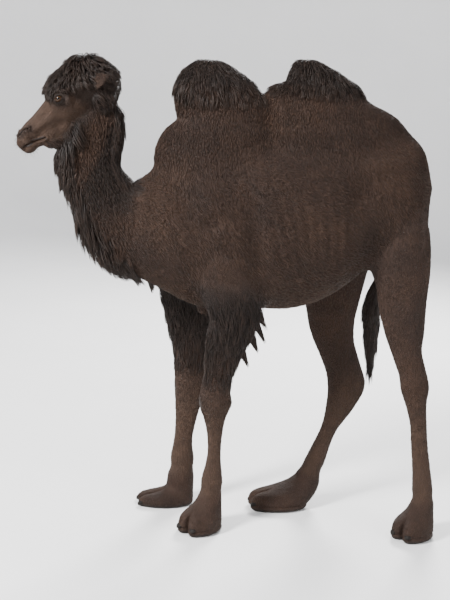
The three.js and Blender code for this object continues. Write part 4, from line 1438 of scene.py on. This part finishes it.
class Nodes:
    """A material's nodes, made one after another."""

    def __init__(self, name):
        self.material = bpy.data.materials.new(name)
        self.material.use_nodes = True
        self.tree = self.material.node_tree
        self.shader = self.tree.nodes["Principled BSDF"]

    def add(self, kind, sockets=None, **settings):
        """One node, with its settings, and its sockets' values or links by name or number."""
        node = self.tree.nodes.new(kind)
        for key, value in settings.items():
            setattr(node, key, value)
        for key, value in (sockets or {}).items():
            self.join(value, node.inputs[key])
        return node

    def join(self, value, socket):
        """A link into a socket, or a fixed value on it."""
        if isinstance(value, bpy.types.NodeSocket):
            self.tree.links.new(value, socket)
        else:
            socket.default_value = value

    def set(self, **sockets):
        """The shader's sockets, whose names are written with _ for a space."""
        for key, value in sockets.items():
            self.join(value, self.shader.inputs[key.replace("_", " ")])

    def value(self, name, output="Color"):
        """A value of the mesh by name."""
        return self.add("ShaderNodeAttribute", attribute_name=name).outputs[output]

    def place(self):
        """The object's own coordinates."""
        return self.add("ShaderNodeTexCoord").outputs["Object"]

    def unwrap(self, name):
        """A UV map by name."""
        return self.add("ShaderNodeUVMap", uv_map=name).outputs[0]

    def noise(self, vector, scale, detail=3.0, roughness=0.55):
        """Noise from 0 to 1 at a scale."""
        sockets = {"Vector": vector, "Scale": scale, "Detail": detail, "Roughness": roughness}
        return self.add("ShaderNodeTexNoise", sockets).outputs["Fac"]

    def stretched(self, vector, scale):
        """A vector with its own scale on each axis."""
        return self.add("ShaderNodeMapping", {"Vector": vector, "Scale": scale}).outputs["Vector"]

    def ranged(self, value, low, high, to_low=0.0, to_high=1.0):
        """A value carried from one range to another, held within it."""
        return self.add("ShaderNodeMapRange", {
            "Value": value, "From Min": low, "From Max": high, "To Min": to_low, "To Max": to_high,
        }).outputs["Result"]

    def maths(self, kind, a, b):
        """Two values added, multiplied and so on."""
        return self.add("ShaderNodeMath", {0: a, 1: b}, operation=kind).outputs[0]

    def length(self, vector):
        """The length of a vector."""
        return self.add("ShaderNodeVectorMath", {0: vector}, operation="LENGTH").outputs[1]

    def shaded(self, colour, share):
        """A colour times a value."""
        return self.add("ShaderNodeVectorMath", {0: colour, 3: share}, operation="SCALE").outputs[0]

    def mixed(self, share, a, b):
        """Two colours mixed by a share. A fixed colour is three numbers."""
        a, b = (colour if isinstance(colour, bpy.types.NodeSocket) else (*colour, 1) for colour in (a, b))
        return self.add("ShaderNodeMix", {0: share, 6: a, 7: b}, data_type="RGBA").outputs[2]

    def bump(self, height, strength, distance):
        """A bump from a height."""
        sockets = {"Height": height, "Strength": strength, "Distance": distance}
        return self.add("ShaderNodeBump", sockets).outputs["Normal"]


def coat_colour(nodes, colours):
    """The coat's colour on skin and hair alike: brown, with dark long hair and the darker rings round the
    eyes, partly painted shade in the sockets, paler face and legs and bare hide from the mesh's marks, and
    soft clouds on the object's own coordinates."""
    place = nodes.place()
    marks = nodes.add("ShaderNodeSeparateColor", {"Color": nodes.value("marks")}).outputs
    clouds = nodes.ranged(nodes.noise(place, 3.2, 4.0), 0.36, 0.64)
    colour = nodes.mixed(clouds, colours.coat, colours.coat_deep)
    colour = nodes.mixed(marks[1], colour, colours.pale)
    colour = nodes.mixed(marks[0], colour, colours.long_hair)
    patches = nodes.ranged(nodes.noise(place, 21.0, 2.0), 0.25, 0.75, 0.82, 1.16)
    return place, marks, colour, patches


def skin_material(colours):
    """Hide under the coat: the coat's colour with short flat fur as fine ridges along its lie, and darker,
    smoother bare hide with fine wrinkles."""
    nodes = Nodes("camel_skin")
    place, marks, colour, patches = coat_colour(nodes, colours)
    lie = nodes.unwrap("lie")
    fur = nodes.noise(nodes.stretched(lie, (420.0, 46.0, 1.0)), 1.0, 4.0, 0.6)
    tufts = nodes.noise(nodes.stretched(lie, (110.0, 24.0, 1.0)), 1.0, 3.0, 0.6)
    grain = nodes.add("ShaderNodeTexVoronoi", {"Vector": place, "Scale": 420.0}, feature="DISTANCE_TO_EDGE")
    grain = nodes.ranged(grain.outputs["Distance"], 0.0, 0.2)
    wrinkles = nodes.noise(place, 150.0, 4.0, 0.65)
    furred = nodes.shaded(colour, nodes.maths("MULTIPLY", nodes.ranged(fur, 0.25, 0.75, 0.66, 1.2), patches))
    hide = nodes.mixed(nodes.ranged(wrinkles, 0.3, 0.7), colours.hide, colours.hide_worn)
    rough = nodes.bump(nodes.maths("ADD", fur, nodes.maths("MULTIPLY", tufts, 1.6)), 0.75, 0.004)
    smooth = nodes.bump(nodes.maths("ADD", wrinkles, nodes.maths("MULTIPLY", grain, 0.5)), 0.5, 0.0012)
    normal = nodes.add("ShaderNodeMix", {0: marks[2], 4: rough, 5: smooth}, data_type="VECTOR").outputs[1]
    nodes.set(Base_Color=nodes.mixed(marks[2], furred, hide), Normal=normal, Specular_IOR_Level=0.22,
              Roughness=nodes.ranged(marks[2], 0.0, 1.0, 0.8, 0.68))
    return nodes.material


def hair_material(name, colours, lift, gloss):
    """Hair: the coat's colour, darker at the root and browner at the tip, each tuft a little off its
    neighbours."""
    nodes = Nodes(name)
    _, _, colour, patches = coat_colour(nodes, colours)
    along, tone = nodes.value("along", "Fac"), nodes.value("tone", "Fac")
    tip = nodes.maths("MULTIPLY", nodes.ranged(along, 0.35, 1.0), lift)
    root, own = nodes.ranged(along, 0.0, 0.45, 0.6, 1.0), nodes.ranged(tone, 0.0, 1.0, 0.68, 1.34)
    shade = nodes.maths("MULTIPLY", nodes.maths("MULTIPLY", root, own), patches)
    nodes.set(Base_Color=nodes.shaded(nodes.mixed(tip, colour, colours.tips), shade), Roughness=gloss,
              Specular_IOR_Level=0.22)
    return nodes.material


def eye_material(colours):
    """A dark brown eye with a wide level pupil, fine spokes in the iris and a clear wet gloss."""
    nodes = Nodes("camel_eye")
    gaze = nodes.unwrap("gaze")
    apart = nodes.add("ShaderNodeSeparateXYZ", {0: gaze}).outputs
    far, oval = nodes.length(gaze), nodes.length(nodes.stretched(gaze, (1.0, 2.1, 1.0)))
    angle = nodes.maths("MULTIPLY", nodes.maths("ARCTAN2", apart[1], apart[0]), 9.0)
    spokes = nodes.noise(nodes.add("ShaderNodeCombineXYZ", {0: angle, 1: far}).outputs[0], 2.4, 4.0)
    iris = nodes.mixed(nodes.ranged(spokes, 0.35, 0.7), colours.iris, colours.iris_light)
    iris = nodes.mixed(nodes.ranged(far, 0.62, 0.78), iris, RIM_BROWN)
    ball = nodes.mixed(nodes.ranged(far, 0.80, 0.90), iris, BALL_BROWN)
    pupil = nodes.ranged(oval, 0.40, 0.47, 1.0, 0.0)
    nodes.set(Base_Color=nodes.mixed(pupil, ball, PUPIL_BLACK), Roughness=0.05, Specular_IOR_Level=0.2)
    return nodes.material


def nail_material(colours):
    """Dark horn with growth rings and a worn, dusty edge."""
    nodes = Nodes("camel_nail")
    place = nodes.place()
    rings = nodes.noise(nodes.stretched(place, (60.0, 60.0, 420.0)), 1.0, 3.0)
    worn = nodes.noise(place, 55.0, 4.0, 0.6)
    colour = nodes.mixed(nodes.ranged(rings, 0.35, 0.8, 0.0, 0.45), colours.nail, colours.nail_worn)
    colour = nodes.mixed(nodes.ranged(worn, 0.55, 0.8, 0.0, 0.5), colour, colours.nail_worn)
    nodes.set(Base_Color=colour, Roughness=nodes.ranged(worn, 0.3, 0.7, 0.5, 0.75), Specular_IOR_Level=0.14,
              Normal=nodes.bump(rings, 0.4, 0.0008))
    return nodes.material


def floor_material(colours):
    """A plain pale floor with a barely seen mottle."""
    nodes = Nodes("studio_floor")
    mottle = nodes.ranged(nodes.noise(nodes.place(), 1.4, 3.0), 0.3, 0.7, 0.97, 1.0)
    nodes.set(Base_Color=nodes.shaded(tuple(colours.floor), mottle), Roughness=0.75, Specular_IOR_Level=0.2)
    return nodes.material


# ---------------------------------------- the add-on


def colour_property(name, description, default):
    """A colour a user can change."""
    return FloatVectorProperty(
        name=name, description=description, default=default, size=3, subtype="COLOR", min=0, max=1)


def share_property(name, description, low, high):
    """A share a user can change, 1 by default."""
    return FloatProperty(
        name=name, description=description, default=1.0, min=low, max=high, subtype="FACTOR")


class CamelColours(bpy.types.PropertyGroup):
    """The camel's colours."""
    coat: colour_property("Coat", "Short hair of the body", (0.03, 0.0155, 0.0095))
    coat_deep: colour_property("Deep coat", "Short hair where the coat is darker", (0.019, 0.01, 0.0066))
    pale: colour_property("Pale coat", "Short hair of the face, lower legs and belly", (0.04, 0.0225, 0.014))
    long_hair: colour_property("Long hair", "Crown, throat, crests and tail", (0.0105, 0.0062, 0.0046))
    tips: colour_property("Tips", "Sun-browned tips of the hair", (0.06, 0.033, 0.019))
    hide: colour_property("Bare hide", "Worn pads, lips and rims", (0.0085, 0.0064, 0.0056))
    hide_worn: colour_property("Worn hide", "Dusty ridges of the bare hide", (0.018, 0.0132, 0.011))
    iris: colour_property("Iris", "Dark part of the iris", (0.012, 0.005, 0.002))
    iris_light: colour_property("Light iris", "Spokes of the iris", (0.04, 0.017, 0.006))
    nail: colour_property("Nail", "Horn of the nails", (0.007, 0.0054, 0.0046))
    nail_worn: colour_property("Worn nail", "Dusty horn", (0.02, 0.015, 0.0118))
    floor: colour_property("Floor", "Studio floor", (0.82, 0.815, 0.81))


class CamelShape(bpy.types.PropertyGroup):
    """The camel's grain and coat."""
    body_grain: FloatProperty(
        name="Body grain", description="Grid of the body's skin", default=0.009, min=0.006, unit="LENGTH")
    face_grain: FloatProperty(
        name="Face grain", description="Grid of the face's skin", default=0.005, min=0.003, unit="LENGTH")
    skin_triangles: IntProperty(
        name="Skin triangles", description="Triangles of the finished skin", default=194_000, max=198_000)
    thickness: share_property("Coat thickness", "Tufts for each area, 1 as drawn up", 0.1, 1.2)
    length: share_property("Coat length", "Length of the short coat, 1 as drawn up", 0.4, 1.5)
    long_length: share_property("Long hair", "Length of the long hair, 1 as drawn up", 0.4, 1.2)
    seed: IntProperty(name="Seed", description="Where the random draws of the hair start", default=11)


class CamelStudio(bpy.types.PropertyGroup):
    """The studio round the camel."""
    lens: FloatProperty(name="Lens", description="Focal length of the camera", default=67.5, unit="CAMERA")
    light: share_property("Light", "Strength of all the lights, 1 as drawn up", 0.0, 10.0)


def finished(piece, slot, *nodes):
    """A piece that rides on the body and stands for nodes where it replaces any; the slot is not used."""
    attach(piece, "root")
    if nodes:
        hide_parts(*nodes)


class CAMEL_OT_skin(bpy.types.Operator):
    """One skin over all the flesh, with its unwrap, the lie of its hair and its markings"""
    bl_idname = "camel.skin"
    bl_label = "Skin"

    def execute(self, context):
        scene = context.scene
        piece, tubes = build_skin(scene.camel_shape)
        mesh = piece.data
        skin = made["skin"] = Skin(mesh, tubes)
        atlas, metres = skin.unwrapped()
        mesh.uv_layers.new(name="OFBake").data.foreach_set("uv", plain(atlas))
        mesh.uv_layers.new(name="lie").data.foreach_set("uv", plain(metres))
        add_value(mesh, "marks", skin.marks)
        mesh.materials.clear()
        mesh.materials.append(skin_material(scene.camel_colours))
        mesh.shade_smooth()
        finished(piece, "coat", *FLESH)
        return {"FINISHED"}


class CAMEL_OT_eyes(bpy.types.Operator):
    """Both eyes, their lids and their lashes"""
    bl_idname = "camel.eyes"
    bl_label = "Eyes"

    def execute(self, context):
        colours = context.scene.camel_colours
        draw = np.random.default_rng(context.scene.camel_shape.seed + 5)
        eye, hide = eye_material(colours), skin_material(colours)
        lash = hair_material("camel_lash", colours, 0.0, 0.4)
        for side, word in ((LEFT, "left"), (RIGHT, "right")):
            finished(eyeball("eyeball_" + word, side, eye), "eye", "eye_" + word)
            finished(eyelids("eyelids_" + word, side, hide), "face_coat")
            finished(lashes("lashes_" + word, side, lash, draw), "long_hair")
        return {"FINISHED"}


class CAMEL_OT_nails(bpy.types.Operator):
    """The two nails of each foot"""
    bl_idname = "camel.nails"
    bl_label = "Nails"

    def execute(self, context):
        horn = nail_material(context.scene.camel_colours)
        for leg in LEGS:
            finished(nails(leg + "_nails", leg, horn), "nail", leg + "_nail_a", leg + "_nail_b")
        return {"FINISHED"}


class CAMEL_OT_short_coat(bpy.types.Operator):
    """The short coat in tufts over every part"""
    bl_idname = "camel.short_coat"
    bl_label = "Short coat"

    def execute(self, context):
        scene = context.scene
        hair = hair_material("camel_short_hair", scene.camel_colours, 0.35, 0.62)
        draw = np.random.default_rng(scene.camel_shape.seed)
        for name, parts, side, slot in SHORT_COAT:
            finished(short_coat(name, made["skin"], parts, side, scene.camel_shape, hair, draw), slot)
        return {"FINISHED"}


class CAMEL_OT_long_coat(bpy.types.Operator):
    """The long hair: crown, mane, throat, humps, forearms, tail, and the locks that break the outline"""
    bl_idname = "camel.long_coat"
    bl_label = "Long hair"

    def execute(self, context):
        scene = context.scene
        hair = hair_material("camel_long_hair", scene.camel_colours, 0.16, 0.5)
        draw = np.random.default_rng(scene.camel_shape.seed + 1)
        for number, row in enumerate(LONG_HAIR):
            name = f"long_hair_{number + 1}_{row[0]}"
            finished(long_coat(name, made["skin"], row, scene.camel_shape, hair, draw), "long_hair")
        finished(whiskers("whiskers", made["skin"], hair, draw), "long_hair")
        finished(hanging_locks("hanging_locks", made["skin"], hair, draw), "long_hair")
        return {"FINISHED"}


class CAMEL_OT_stage(bpy.types.Operator):
    """A plain pale floor, soft lights and the camera"""
    bl_idname = "camel.stage"
    bl_label = "Stage"

    def execute(self, context):
        scene = context.scene
        floor = studio_bowl(floor_material(scene.camel_colours))
        world = bpy.data.worlds.new("studio")
        world.use_nodes = True
        sky = world.node_tree.nodes["Background"].inputs
        sky["Color"].default_value = (0.93, 0.95, 1.0, 1)
        sky["Strength"].default_value = 0.95 * scene.camel_studio.light
        scene.world = world
        for name, place, size, power in LIGHTS:
            light = bpy.data.lights.new(name, "AREA")
            light.shape, light.size, light.energy = "DISK", size, power * scene.camel_studio.light
            lamp = bpy.data.objects.new(name, light)
            aim = Vector(place) - Vector((0, 0, LIT_HEIGHT))
            lamp.matrix_world = Matrix.Translation(place) @ aim.to_track_quat("Z", "Y").to_matrix().to_4x4()
            scene.collection.objects.link(lamp)
        scene.camera = camera(scene.camel_studio.lens)
        scene.collection.objects.link(scene.camera)
        return {"FINISHED"}


def studio_bowl(material, sides=96):
    """The floor and the wall round it: a profile that is flat to the bowl's edge, then a quarter circle,
    then upright, carried round the Z axis, with a point in the middle."""
    bend = np.linspace(0, np.pi / 2, 12)
    radius = np.concatenate([[3, 6, 9], 9 + 3 * np.sin(bend[1:]), [12]])
    height = np.concatenate([[0, 0, 0], 3 - 3 * np.cos(bend[1:]), [6.5]]) + FLOOR_LEVEL
    turn = round_angles(sides)
    points = np.stack([
        radius[:, None] * np.cos(turn), radius[:, None] * np.sin(turn), np.repeat(height[:, None], sides, 1)
    ], -1).reshape(-1, 3)
    j = np.arange(sides)
    faces = grid_faces(len(radius), sides)[:, ::-1].tolist()
    faces += np.stack([np.full(sides, len(points)), j, (j + 1) % sides], -1).tolist()
    return new_piece("studio_floor", np.concatenate([points, [[0, 0, FLOOR_LEVEL]]]), faces, [material])


def camera(lens):
    """The camera: it looks along +Y turned by its heading, down by its tilt, and rolled about its own
    axis."""
    heading, down, roll = (np.radians(CAMERA[key]) for key in ("heading", "down", "roll"))
    ahead = np.array([np.sin(heading) * np.cos(down), np.cos(heading) * np.cos(down), -np.sin(down)])
    level = unit(np.cross(ahead, UP))
    over = np.cross(level, ahead)
    right = level * np.cos(roll) + over * np.sin(roll)
    up = over * np.cos(roll) - level * np.sin(roll)
    lens_data = bpy.data.cameras.new("camera")
    lens_data.lens, lens_data.sensor_width, lens_data.clip_end = lens, 36.0, 200.0
    made_camera = bpy.data.objects.new("camera", lens_data)
    turn = Matrix(np.stack([right, up, -ahead], 1).tolist()).to_4x4()
    made_camera.matrix_world = Matrix.Translation(CAMERA["place"]) @ turn
    return made_camera


GROUPS = {"camel_shape": CamelShape, "camel_colours": CamelColours, "camel_studio": CamelStudio}
PARTS = (
    CAMEL_OT_skin, CAMEL_OT_eyes, CAMEL_OT_nails, CAMEL_OT_short_coat, CAMEL_OT_long_coat, CAMEL_OT_stage,
)


class CAMEL_PT_panel(bpy.types.Panel):
    """Lists the camel's parts and settings"""
    bl_idname = "CAMEL_PT_panel"
    bl_label = "Camel"
    bl_space_type = "VIEW_3D"
    bl_region_type = "UI"
    bl_category = "Camel"

    def draw(self, context):
        layout = self.layout
        for part in PARTS:
            layout.operator(part.bl_idname)
        for group in GROUPS:
            box = layout.box()
            for name in GROUPS[group].__annotations__:
                box.prop(getattr(context.scene, group), name)


CLASSES = (*GROUPS.values(), *PARTS, CAMEL_PT_panel)


def register():
    """Makes the classes and the scene's settings known."""
    for kind in CLASSES:
        bpy.utils.register_class(kind)
    for name, kind in GROUPS.items():
        setattr(bpy.types.Scene, name, PointerProperty(type=kind))


def unregister():
    """Takes the settings and the classes away again."""
    for name in GROUPS:
        delattr(bpy.types.Scene, name)
    for kind in reversed(CLASSES):
        bpy.utils.unregister_class(kind)


def main():
    """Builds the whole camel."""
    register()
    for part in PARTS:
        family, name = part.bl_idname.split(".")
        getattr(getattr(bpy.ops, family), name)()


if __name__ == "__main__":
    main()
